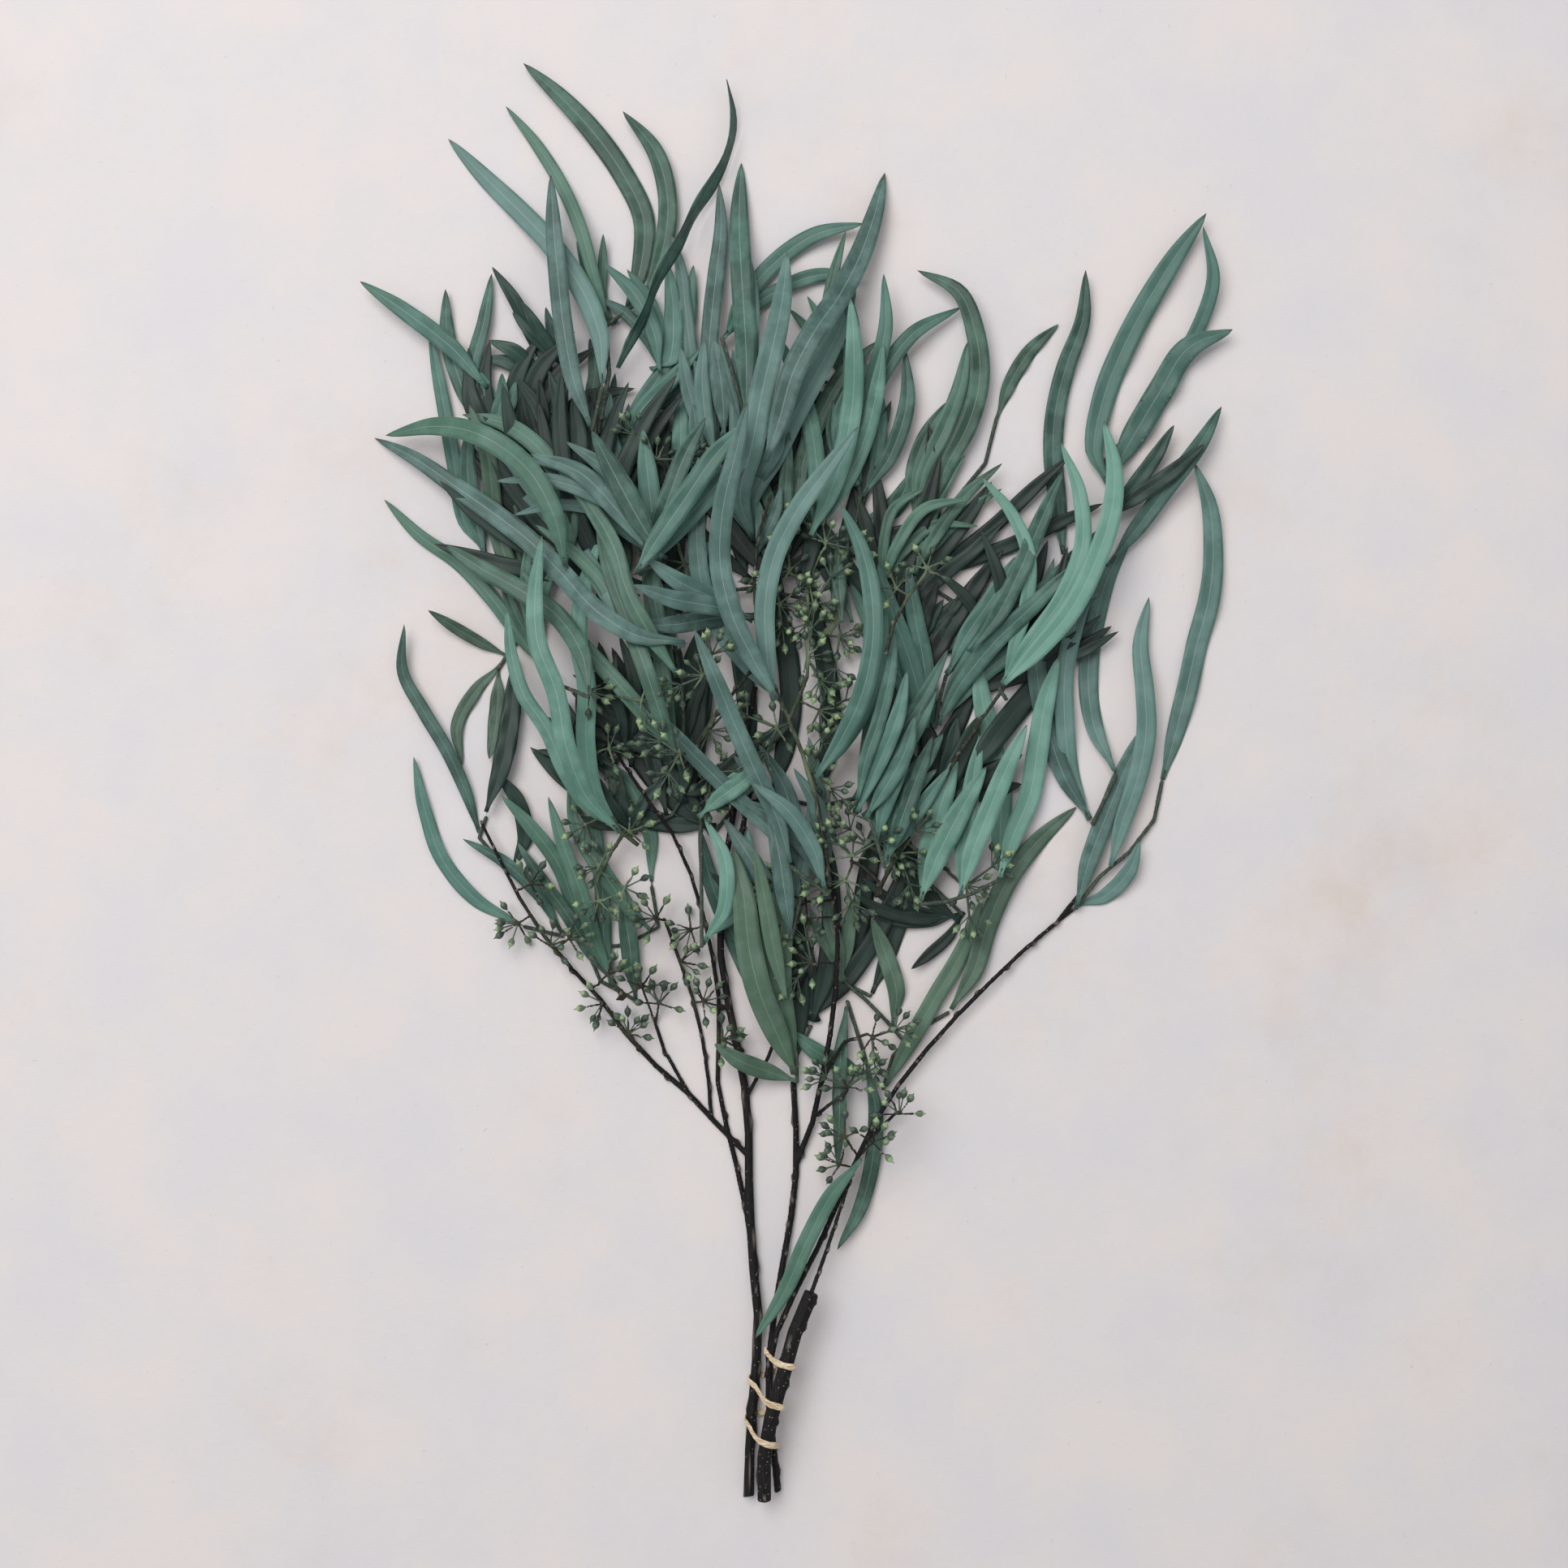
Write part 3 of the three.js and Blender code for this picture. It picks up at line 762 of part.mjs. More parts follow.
// The taut outline round the stems at one height along the bunch, as points in x and z.
function outlineRound(stems, y, offset) {
  const points = stems.flatMap(({ points: line, radiusAt }) => {
    const i = line.findIndex((p) => p.y >= y);
    if (i < 1) return [];
    const t = (y - line[i - 1].y) / (line[i].y - line[i - 1].y);
    const centre = line[i - 1].clone().lerp(line[i], t);
    const radius = radiusAt((i - 1 + t) / (line.length - 1)) + offset;
    return Array.from({ length: 32 }, (_, k) => [centre.x + radius * Math.cos((k * Math.PI) / 16),
      centre.z + radius * Math.sin((k * Math.PI) / 16)]);
  }).sort((a, b) => a[0] - b[0] || a[1] - b[1]);
  const turn = (o, a, b) => (a[0] - o[0]) * (b[1] - o[1]) - (a[1] - o[1]) * (b[0] - o[0]);
  const half = (list) => {
    const hull = [];
    for (const p of list) {
      while (hull.length > 1 && turn(hull.at(-2), hull.at(-1), p) <= 0) hull.pop();
      hull.push(p);
    }
    return hull.slice(0, -1);
  };
  return [...half(points), ...half([...points].reverse())];
}

function tieSolid(stems) {
  const count = Math.round(TIE_TURNS * 22);
  const rings = Array.from({ length: count + 1 }, (_, i) => {
    const turned = (i / count) * TIE_TURNS;
    const y = TIE_FROM_Y + TIE_PITCH * turned;
    const hull = outlineRound(stems, y, TIE_THICKNESS / 2 + TIE_SLACK);
    const middle = hull.reduce((m, p) => [m[0] + p[0] / hull.length, m[1] + p[1] / hull.length], [0, 0]);
    const angle = -Math.PI / 2 + turned * 2 * Math.PI;
    const ray = [Math.cos(angle), Math.sin(angle)];
    const reach = Math.max(...hull.map((p, k) => {
      const q = hull[(k + 1) % hull.length];
      const edge = [q[0] - p[0], q[1] - p[1]];
      const cross = ray[0] * edge[1] - ray[1] * edge[0];
      const far = ((p[0] - middle[0]) * edge[1] - (p[1] - middle[1]) * edge[0]) / cross;
      return Number.isFinite(far) ? crossesEdge(p, q, middle, ray, far) : 0;
    }));
    const centre = new THREE.Vector3(middle[0] + ray[0] * reach, y, middle[1] + ray[1] * reach);
    const out = new THREE.Vector3(ray[0], 0, ray[1]).multiplyScalar(TIE_THICKNESS / 2);
    const wide = new THREE.Vector3(0, TIE_WIDTH / 2, 0);
    return [centre.clone().add(out).add(wide), centre.clone().sub(out).add(wide),
      centre.clone().sub(out).sub(wide), centre.clone().add(out).sub(wide)];
  });
  return skin(rings);
}

// How far along the ray the edge p-q is met, or 0 where the ray passes it by.
function crossesEdge(p, q, from, ray, far) {
  if (far <= 0) return 0;
  const hit = [from[0] + ray[0] * far, from[1] + ray[1] * far];
  const inside = (hit[0] - p[0]) * (hit[0] - q[0]) + (hit[1] - p[1]) * (hit[1] - q[1]) <= 1e-6;
  return inside ? far : 0;
}

// ---- Laying the bunch ----

// A shoot with no twig of its own gets one through the feet of its leaves.
function twigsOf({ twigs, leaves }) {
  if (twigs.length || leaves.length < 2) return twigs;
  const feet = leaves.map(({ route }) => route[0]).sort((a, b) => a[1] - b[1]);
  const chain = [feet.shift()];
  const apart = ([x, y]) => Math.hypot(x - chain.at(-1)[0], y - chain.at(-1)[1]);
  while (feet.length) {
    feet.sort((a, b) => apart(a) - apart(b));
    const next = feet.shift();
    if (apart(next) > 3) chain.push(next);
  }
  if (chain.length === 1) chain.push([chain[0][0] + 4, chain[0][1] - 6]);
  return [twig([SPRAY_TWIG_RADIUS, SPRAY_TWIG_RADIUS], ...chain)];
}

const bunch = new THREE.Group();

function addMesh(name, finish, solid) {
  const { vertProperties, triVerts } = solid.getMesh();
  const geometry = new THREE.BufferGeometry();
  geometry.setAttribute("position", new THREE.Float32BufferAttribute(vertProperties, 3));
  geometry.setIndex(new THREE.Uint32BufferAttribute(triVerts, 1));
  const mesh = new THREE.Mesh(geometry, new THREE.MeshStandardMaterial({ ...FINISH[finish], metalness: 0 }));
  mesh.name = name;
  bunch.add(mesh);
}

// The strip below the tie starts a little above the surface, so that the tie passes under the stems.
for (let y = TIE_FROM_Y - 8; y < TIE_FROM_Y + TIE_PITCH * TIE_TURNS + 8; y += 1) {
  for (let x = -30; x < 30; x += 1) heap.raise(x, y, TIE_CLEARANCE);
}

const tiedStems = [];
let order = 0;
for (const { name, finish, twigs, leaves, umbels } of PIECES) {
  const wood = [];
  for (const one of twigsOf({ twigs, leaves })) wood.push(layTwig(one, wood));
  const solids = wood.flatMap((w) => w.solids);
  const withShoot = heap.copy();
  wood.forEach((one) => coverTwig(one, withShoot));
  const covers = [];
  for (const one of leaves) {
    const { solids: blade, cover } = layLeaf(one, wood, withShoot, order);
    solids.push(...blade);
    cover(withShoot, OWN_BERTH);
    covers.push(cover);
    order += 1;
  }
  for (const one of umbels) {
    const { solids: cluster, cover } = layUmbel(one, wood, order);
    solids.push(...cluster);
    covers.push(cover);
    order += 1;
  }
  wood.forEach((one) => coverTwig(one));
  covers.forEach((cover) => cover(heap, 0));
  if (twigs.length && twigs[0].route[0][1] < TIE_FROM_Y) tiedStems.push(wood[0]);
  addMesh(name, finish, union(solids).simplify(0.01));
  if (name === "stem_cut_thick") addMesh("tie", "tie", tieSolid(tiedStems));
}

// The origin goes below the middle of the bunch.
const box = new THREE.Box3().setFromObject(bunch);
for (const mesh of bunch.children) {
  mesh.geometry.translate(-(box.min.x + box.max.x) / 2, -(box.min.y + box.max.y) / 2, -box.min.z);
}

export default bunch;
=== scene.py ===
# %% [markdown]
# # A tied bunch of willow-leaved eucalyptus
# The CAD frame gives every shoot as a stiff stand-in: leaves of flat stretches, square twigs and
# three-sided buds. This lesson reads the leaves and buds out of those stand-ins, grows a smooth one on
# each, and skins the wood that is left. Nothing is placed by hand, so the plant stays where the
# frame has it.

# %% Load the frame
import bpy, bmesh, json, math, random
from mathutils import Vector, Matrix, kdtree, noise


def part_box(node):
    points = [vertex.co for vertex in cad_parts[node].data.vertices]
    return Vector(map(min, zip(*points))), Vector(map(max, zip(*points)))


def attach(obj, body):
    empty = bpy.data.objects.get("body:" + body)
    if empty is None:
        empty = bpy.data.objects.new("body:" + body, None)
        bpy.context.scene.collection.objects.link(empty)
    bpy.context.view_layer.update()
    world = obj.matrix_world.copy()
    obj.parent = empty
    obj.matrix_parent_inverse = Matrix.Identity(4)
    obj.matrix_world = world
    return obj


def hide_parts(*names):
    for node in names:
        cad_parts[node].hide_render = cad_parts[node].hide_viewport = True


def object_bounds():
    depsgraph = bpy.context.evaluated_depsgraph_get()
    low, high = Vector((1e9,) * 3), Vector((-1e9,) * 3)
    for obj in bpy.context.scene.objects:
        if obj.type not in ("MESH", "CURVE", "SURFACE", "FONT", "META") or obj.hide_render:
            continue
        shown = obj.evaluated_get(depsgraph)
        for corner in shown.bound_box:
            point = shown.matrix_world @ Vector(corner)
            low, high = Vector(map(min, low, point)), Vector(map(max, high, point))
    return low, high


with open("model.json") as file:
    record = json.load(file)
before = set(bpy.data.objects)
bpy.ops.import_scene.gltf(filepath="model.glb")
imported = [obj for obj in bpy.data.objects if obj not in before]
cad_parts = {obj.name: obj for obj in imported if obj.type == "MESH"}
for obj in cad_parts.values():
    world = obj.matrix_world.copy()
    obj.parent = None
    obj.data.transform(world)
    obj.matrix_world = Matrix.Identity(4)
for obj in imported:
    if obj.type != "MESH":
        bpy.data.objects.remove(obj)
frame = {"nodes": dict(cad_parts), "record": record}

MM = 0.001
CAD_BOX = [list(corner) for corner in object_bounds()]
SLOT_OF = {part["node"]: part["material_slot"] for part in frame["record"]["subparts"]}
print(len(frame["nodes"]), "nodes, box", [[round(v, 3) for v in corner] for corner in CAD_BOX])

# %% [markdown]
# ## Camera, floor and light
# The bunch lies on a table and is seen from straight above, so a long-enough lens over its middle keeps
# the outer leaves from leaning away. A real bunch like this is lit by a wide window: one big soft
# lamp does that, and the sky light around it fills the shadows between the leaves.

# %% Camera straight above the middle of the bunch
FOCAL, SENSOR = 50.0, 36.0
FIELD_OF_VIEW = 772.8 * MM
low, high = (Vector(corner) for corner in CAD_BOX)
target = Vector((-6.1 * MM, -2.3 * MM, 20 * MM))
camera = bpy.data.objects.new("camera", bpy.data.cameras.new("camera"))
camera.data.lens, camera.data.sensor_width = FOCAL, SENSOR
camera.location = target + Vector((0, 0, FIELD_OF_VIEW * FOCAL / SENSOR))
bpy.context.scene.collection.objects.link(camera)
bpy.context.scene.camera = camera
print("camera", round(camera.location.z, 3), "m up")

# %% A node, and a colour from its sRGB hex
def srgb(hex_colour):
    """Linear RGBA from a hex colour such as "6f8a7c"."""
    channels = [int(hex_colour[i:i + 2], 16) / 255 for i in (0, 2, 4)]
    return tuple(c / 12.92 if c <= 0.04045 else ((c + 0.055) / 1.055) ** 2.4 for c in channels) + (1.0,)


def add_node(material, kind, settings=None, **inputs):
    """Adds a shader node; settings are its properties, inputs its sockets' values or links."""
    node = material.node_tree.nodes.new("ShaderNode" + kind)
    for name, value in (settings or {}).items():
        setattr(node, name, value)
    for name, value in inputs.items():
        key = int(name[1:]) if name[0] == "_" else name.replace("_", " ")
        if isinstance(value, bpy.types.NodeSocket):
            material.node_tree.links.new(value, node.inputs[key])
        else:
            node.inputs[key].default_value = value
    return node


def start_material(name):
    """An empty node material and its surface shader."""
    material = bpy.data.materials.new(name)
    material.use_nodes = True
    return material, material.node_tree.nodes["Principled BSDF"]


# A Mix node takes the amount in socket 0 and its colours in 6 and 7; a MapRange node rises from its
# socket 1 to its socket 2.
COLOURS = {"data_type": "RGBA"}
STEP = {"interpolation_type": "SMOOTHSTEP"}
TIMES = {"operation": "MULTIPLY"}


# %% Floor of trowelled plaster
floor_mesh = bpy.data.meshes.new("floor")
floor_mesh.from_pydata([(-3, -3, 0), (3, -3, 0), (3, 3, 0), (-3, 3, 0)], [], [(0, 1, 2, 3)])
floor = bpy.data.objects.new("floor", floor_mesh)
bpy.context.scene.collection.objects.link(floor)
plaster, surface = start_material("pale_plaster")
place = add_node(plaster, "TexCoord").outputs["Object"]
clouds = add_node(plaster, "TexNoise", Vector=place, Scale=14.0, Detail=5.0, Roughness=0.6).outputs["Fac"]
amount = add_node(plaster, "MapRange", STEP, _0=clouds, _1=0.35, _2=0.68).outputs[0]
shade = add_node(plaster, "Mix", COLOURS, _0=amount, _6=srgb("dcd4d1"), _7=srgb("d5d1d3")).outputs[2]
stains = add_node(plaster, "TexNoise", Vector=place, Scale=5.0, Detail=8.0, Roughness=0.72).outputs["Fac"]
amount = add_node(plaster, "MapRange", STEP, _0=stains, _1=0.5, _2=0.9).outputs[0]
shade = add_node(plaster, "Mix", COLOURS, _0=amount, _6=shade, _7=srgb("cfc0b2")).outputs[2]
grit = add_node(plaster, "TexNoise", Vector=place, Scale=260.0, Detail=6.0, Roughness=0.7).outputs["Fac"]
amount = add_node(plaster, "MapRange", STEP, _0=grit, _1=0.62, _2=0.8).outputs[0]
shade = add_node(plaster, "Mix", COLOURS, _0=amount, _6=shade, _7=srgb("bdb2aa")).outputs[2]
plaster.node_tree.links.new(shade, surface.inputs["Base Color"])
rise = add_node(plaster, "Bump", Strength=0.35, Distance=0.0006, Height=grit)
plaster.node_tree.links.new(rise.outputs[0], surface.inputs["Normal"])
surface.inputs["Roughness"].default_value = 0.85
floor_mesh.materials.append(plaster)

# %% One big soft lamp and the light of a pale room
lamp_data = bpy.data.lights.new("window", "AREA")
lamp_data.shape, lamp_data.size, lamp_data.size_y = "RECTANGLE", 2.4, 2.0
lamp_data.energy = 74
lamp = bpy.data.objects.new("window", lamp_data)
lamp.location = (-1.0, 1.2, 2.6)
lamp.rotation_euler = (Vector((0, 0, 0)) - lamp.location).to_track_quat("-Z", "Y").to_euler()
bpy.context.scene.collection.objects.link(lamp)
world = bpy.data.worlds.new("room")
world.use_nodes = True
world.node_tree.nodes["Background"].inputs[0].default_value = srgb("f4f6fa")
world.node_tree.nodes["Background"].inputs[1].default_value = 0.50
bpy.context.scene.world = world
bpy.context.scene.view_settings.view_transform = "Standard"
print("floor, lamp and room light made")

# %% [markdown]
# ## Reading a shoot
# Every stand-in leaf is a skin through rings of three points: its two edges and the keel below the
# midrib. It ends in one point, the tip. So a leaf is found by its tip, a point with three
# neighbours that all touch, and is followed back ring by ring until it joins the wood. A bud is made
# the same way, but is short and round. Following the mesh costs nothing and needs no list of places.

# %% Rings from a tip back to the wood
def neighbours(vertex):
    return {edge.other_vert(vertex) for edge in vertex.link_edges}


def middle(points):
    return sum(points, Vector()) / len(points)


def measured(ring):
    """A ring's width, its two edge points and its keel point, which lies lowest of the rest."""
    points = sorted((v.co.copy() for v in ring), key=lambda co: tuple(co))
    width, a, b = max(((points[i] - points[j]).length, i, j)
                      for j in range(len(points)) for i in range(j))
    rest = [co for k, co in enumerate(points) if k not in (a, b)]
    centre = (points[a] + points[b]) / 2
    keel = min(rest, key=lambda co: co.z) if rest else centre - Vector((0, 0, 0.9 * MM))
    return width, points[a], points[b], keel


STALK_WIDTH = 1.5 * MM          # a ring narrower than this is the leaf's stalk
WIDEST_LEAF = 22 * MM


def rings_from(tip):
    """Rings of points, one after another, from the tip to the stalk or to where the shape joins something.
    The stand-in was simplified, so a ring may lack its keel or have a point too many."""
    ring, seen, back, rings = neighbours(tip), {tip}, tip.co, []
    while 2 <= len(ring) <= 4 and measured(ring)[0] < WIDEST_LEAF:
        rings.append(ring)
        seen |= ring
        if len(rings) > 1 and measured(ring)[0] < STALK_WIDTH:
            break
        centre = middle([v.co for v in ring])
        ahead = (centre - back).normalized()
        beyond = set().union(*(neighbours(v) for v in ring)) - seen
        if not beyond:
            break
        if len(beyond) == 3 and all(len(neighbours(v) & beyond) == 2 for v in beyond):
            ring = beyond
        else:
            nearest = min((v.co - centre).dot(ahead) for v in beyond)
            ring = {v for v in beyond if (v.co - centre).dot(ahead) < max(1.5 * nearest, nearest + 4 * MM)}
        back = centre
    return rings


# %% What one shoot holds
BUD_TIP = 4.06 * MM             # tip of a bud to its widest ring
BUD_GIRTH = 3.81 * MM           # side of that ring
NARROWEST_LEAF = 3.0 * MM
SHORTEST_TIP = 9 * MM           # of a leaf, from its tip to its first ring


def read_shoot(node):
    """The leaves and buds of one node, and its mesh without them."""
    mesh = bmesh.new()
    mesh.from_mesh(frame["nodes"][node].data)
    bmesh.ops.remove_doubles(mesh, verts=mesh.verts, dist=1e-6)
    leaves, buds, taken = [], [], set()
    for tip in mesh.verts:
        if len(tip.link_edges) != 3 or tip in taken:
            continue
        first = neighbours(tip)
        reach = (tip.co - middle([v.co for v in first])).length
        sides = [(a.co - b.co).length for a in first for b in first if a is not b]
        bud_sides = abs(max(sides) - BUD_GIRTH) < 0.5 * MM and min(sides) > 3.2 * MM
        if abs(reach - BUD_TIP) < 0.6 * MM and bud_sides:
            buds.append((tip.co.copy(), (tip.co - middle([v.co for v in first])).normalized()))
            taken |= {tip} | first
            continue
        rings = rings_from(tip)
        sizes = [measured(ring) for ring in rings]
        if reach < SHORTEST_TIP or not sizes or max(size[0] for size in sizes) < NARROWEST_LEAF:
            continue
        leaves.append((tip.co.copy(), [size[1:] for size in sizes]))
        taken |= {tip}.union(*(rings[:-1] if sizes[-1][0] < STALK_WIDTH else rings))
    bmesh.ops.delete(mesh, geom=list(taken), context="VERTS")
    return leaves, buds, mesh


shoots = {node: read_shoot(node) for node in frame["nodes"]}
print(sum(len(s[0]) for s in shoots.values()), "leaves,", sum(len(s[1]) for s in shoots.values()), "buds")

# %% [markdown]
# ## Leaves
# A willow-leaved eucalyptus leaf is a long sickle, 0.4 mm thick, folded a little along its midrib, with a
# gently waved edge and a drawn-out tip. It is built as a grid along a smooth curve: seven points
# across, thirty along, with an underside so that the mesh is closed. A grid keeps the midrib on
# one line of points, which the leaf's colour then follows.

# %% A smooth curve through uneven points
def through(points, where):
    """Catmull-Rom curve through values at uneven distances; where is a distance."""
    i = max(1, next((k for k, (s, _) in enumerate(points) if s >= where), len(points) - 1))
    (s1, p1), (s2, p2) = points[i - 1], points[i]
    s0, p0 = points[i - 2] if i > 1 else (s1 - (s2 - s1), p1 + (p1 - p2))
    s3, p3 = points[i + 1] if i + 1 < len(points) else (s2 + (s2 - s1), p2 + (p2 - p1))
    t = min(max((where - s1) / max(s2 - s1, 1e-9), 0.0), 1.0)
    m1 = (p2 - p0) * ((s2 - s1) / (s2 - s0))
    m2 = (p3 - p1) * ((s2 - s1) / (s3 - s1))
    return (p1 * (2 * t**3 - 3 * t**2 + 1) + m1 * (t**3 - 2 * t**2 + t)
            + p2 * (3 * t**2 - 2 * t**3) + m2 * (t**3 - t**2))


# %% Grow one leaf on its rings
ALONG = 30                      # stretches along a leaf
HALF_ACROSS = [-1.0, -0.62, -0.22, 0.0, 0.22, 0.62, 1.0]
THICK = 0.38 * MM
FULLNESS = 0.62                 # under 1, a leaf stays broad for longer and then narrows faster
BROAD_FOOT = 1.5 * MM           # half the width of a last ring that is still leaf, not stalk
FOOT_STALK = 5 * MM             # from a leaf's last ring to its twig
HIDDEN_FOOT = 16 * MM           # the same where the stand-in's leaf is lost in its twig while still broad


def grow_leaf(tip, rings, chance):
    """Points and attributes of one leaf, from its stand-in's tip and rings."""
    sides = []
    for left, right, keel in reversed(rings):
        centre, side = (left + right) / 2, (left - right) / 2
        if sides and side.dot(sides[-1][1]) < 0:
            side = -side
        up = -(keel - centre)
        sides.append((centre, side, up - side * (up.dot(side) / max(side.length_squared, 1e-12))))
    following = sides[1][0] if len(sides) > 1 else tip
    start, ahead = sides[0][0], (following - sides[0][0]).normalized()
    if sides[0][1].length > BROAD_FOOT:
        start = start - ahead * HIDDEN_FOOT
        sides.insert(0, (start, sides[0][1].normalized() * 0.65 * MM, sides[0][2]))
    stops, gone = [], 0.0
    foot = start - ahead * FOOT_STALK
    foot.z = max(foot.z, 0.9 * MM)
    route = [foot] + [s[0] for s in sides] + [tip]
    halves = [0.45 * MM] + [s[1].length for s in sides] + [0.0]
    turns = [sides[0][1].normalized()] + [s[1].normalized() for s in sides] + [sides[-1][1].normalized()]
    ups = [sides[0][2].normalized()] + [s[2].normalized() for s in sides] + [sides[-1][2].normalized()]
    for k, point in enumerate(route):
        gone += (point - route[k - 1]).length if k else 0
        stops.append(gone)
    broadest = max(halves)
    fold = chance.uniform(0.03, 0.15)
    waves, phase, wave = chance.uniform(2.0, 4.5), chance.uniform(0, 6.28), chance.uniform(0.05, 0.22)
    points, attributes, tint = [], [], chance.random()
    for i in range(ALONG + 1):
        s = gone * (i / ALONG) ** 0.92
        t = s / gone
        centre = through(list(zip(stops, route)), s)
        half = max(through(list(zip(stops, halves)), s), 0.0) if i < ALONG else 0.0
        half = broadest * (half / broadest) ** FULLNESS
        half = max(half, 0.4 * MM * (1 - t) + 0.06 * MM)
        side = through(list(zip(stops, turns)), s).normalized()
        up = through(list(zip(stops, ups)), s)
        up = (up - side * up.dot(side)).normalized()
        for across in HALF_ACROSS:
            ripple = wave * half * across * abs(across) * math.sin(waves * 6.28 * t + phase + across)
            height = (abs(across) - 0.6) * fold * half + ripple - (0.1 * MM if across == 0 else 0)
            top = centre + side * (half * across) + up * height
            thick = THICK * (0.5 + 0.5 * (1 - abs(across))) + (0.35 * MM if across == 0 else 0) * (1 - t)
            points.append((top, top - up * thick))
            attributes.append((abs(across), t, tint))
    return points, attributes


def leaf_faces(first, rows):
    """Faces of the top and the underside, closed round the edge; points come in top and underside pairs."""
    n, faces = len(HALF_ACROSS), []
    top = lambda i, j: first + 2 * (i * n + j)
    for i in range(rows):
        for j in range(n - 1):
            faces.append((top(i, j), top(i, j + 1), top(i + 1, j + 1), top(i + 1, j)))
            faces.append((top(i + 1, j) + 1, top(i + 1, j + 1) + 1, top(i, j + 1) + 1, top(i, j) + 1))
        faces.append((top(i, 0) + 1, top(i, 0), top(i + 1, 0), top(i + 1, 0) + 1))
        faces.append((top(i, n - 1), top(i, n - 1) + 1, top(i + 1, n - 1) + 1, top(i + 1, n - 1)))
    for i in (0, rows):
        for j in range(n - 1):
            loop = (top(i, j), top(i, j) + 1, top(i, j + 1) + 1, top(i, j + 1))
            faces.append(loop if i == 0 else loop[::-1])
    return faces


# %% Keep what the finish needs on the points: distance from the midrib, along the leaf, and its own tint
def make_piece(name, node, points, faces, attributes, names, material):
    """A piece that rides with the bunch, in the finish it is given; its node's stand-in is hidden."""
    mesh = bpy.data.meshes.new(name)
    mesh.from_pydata(points, [], faces)
    for index, attribute in enumerate(names):
        values = mesh.attributes.new(attribute, "FLOAT", "POINT")
        values.data.foreach_set("value", [a[index] for a in attributes])
    mesh.polygons.foreach_set("use_smooth", [True] * len(mesh.polygons))
    mesh.materials.append(material)
    piece = bpy.data.objects.new(name, mesh)
    bpy.context.scene.collection.objects.link(piece)
    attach(piece, "root")
    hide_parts(node)
    return piece


# %% [markdown]
# ## Finish of a leaf
# A eucalyptus leaf has a skin of wax: dull, blue-grey and a little uneven, thicker on young leaves. The
# midrib is pale, the side veins are faint and leave it at a small angle, and the edge is a thin
# pale line. All of that follows the leaf, so the pattern reads the values kept on its points.

# %% Waxy leaf
def waxy_leaf(name, face, shade, bloom, rib, roughness):
    """A leaf finish: its two greens, its wax bloom, the midrib's colour and how dull it is."""
    material, surface = start_material(name)
    across = add_node(material, "Attribute", {"attribute_name": "across"}).outputs["Fac"]
    along = add_node(material, "Attribute", {"attribute_name": "along"}).outputs["Fac"]
    tint = add_node(material, "Attribute", {"attribute_name": "tint"}).outputs["Fac"]
    place = add_node(material, "TexCoord").outputs["Object"]
    # Patches of wax are 10 to 20 mm across; the grain in them is under 1 mm.
    patches = add_node(material, "TexNoise", Vector=place, Scale=70.0, Detail=4.0,
                       Roughness=0.6).outputs["Fac"]
    grain = add_node(material, "TexNoise", Vector=place, Scale=900.0, Detail=3.0).outputs["Fac"]
    base = add_node(material, "Mix", COLOURS, _0=tint, _6=srgb(shade), _7=srgb(face)).outputs[2]
    waxed = add_node(material, "MapRange", STEP, _0=patches, _1=0.38, _2=0.72).outputs[0]
    amount = add_node(material, "Math", TIMES, _0=waxed, _1=0.5).outputs[0]
    base = add_node(material, "Mix", COLOURS, _0=amount, _6=base, _7=srgb(bloom)).outputs[2]
    # Side veins: one about every 2.5 mm of a 110 mm leaf, at a slant to the midrib.
    count = add_node(material, "Math", TIMES, _0=along, _1=44.0).outputs[0]
    slant = add_node(material, "Math", {"operation": "MULTIPLY_ADD"}, _0=across, _1=-5.0, _2=count).outputs[0]
    turned = add_node(material, "Math", TIMES, _0=slant, _1=6.28).outputs[0]
    wave = add_node(material, "Math", {"operation": "SINE"}, _0=turned).outputs[0]
    veins = add_node(material, "MapRange", STEP, _0=wave, _1=0.72, _2=1.0).outputs[0]
    ridge = add_node(material, "MapRange", STEP, _0=across, _1=0.05, _2=0.02).outputs[0]
    edge = add_node(material, "MapRange", STEP, _0=across, _1=0.93, _2=1.0).outputs[0]
    for line, strength in ((veins, 0.06), (edge, 0.3), (ridge, 0.42)):
        amount = add_node(material, "Math", TIMES, _0=line, _1=strength).outputs[0]
        base = add_node(material, "Mix", COLOURS, _0=amount, _6=base, _7=srgb(rib)).outputs[2]
    # The last few millimetres of a tip dry to brown.
    dry = add_node(material, "MapRange", STEP, _0=along, _1=0.965, _2=1.0).outputs[0]
    amount = add_node(material, "Math", TIMES, _0=dry, _1=0.6).outputs[0]
    base = add_node(material, "Mix", COLOURS, _0=amount, _6=base, _7=srgb("5a3f30")).outputs[2]
    material.node_tree.links.new(base, surface.inputs["Base Color"])
    rough = add_node(material, "MapRange", _0=patches, _1=0.3, _2=0.75,
                     _3=roughness - 0.08, _4=roughness + 0.1)
    material.node_tree.links.new(rough.outputs[0], surface.inputs["Roughness"])
    surface.inputs["IOR"].default_value = 1.42
    relief = add_node(material, "Math", {"operation": "MULTIPLY_ADD"}, _0=grain, _1=0.35, _2=veins)
    bump = add_node(material, "Bump", Strength=0.25, Distance=0.0002, Height=relief.outputs[0])
    material.node_tree.links.new(bump.outputs[0], surface.inputs["Normal"])
    return material


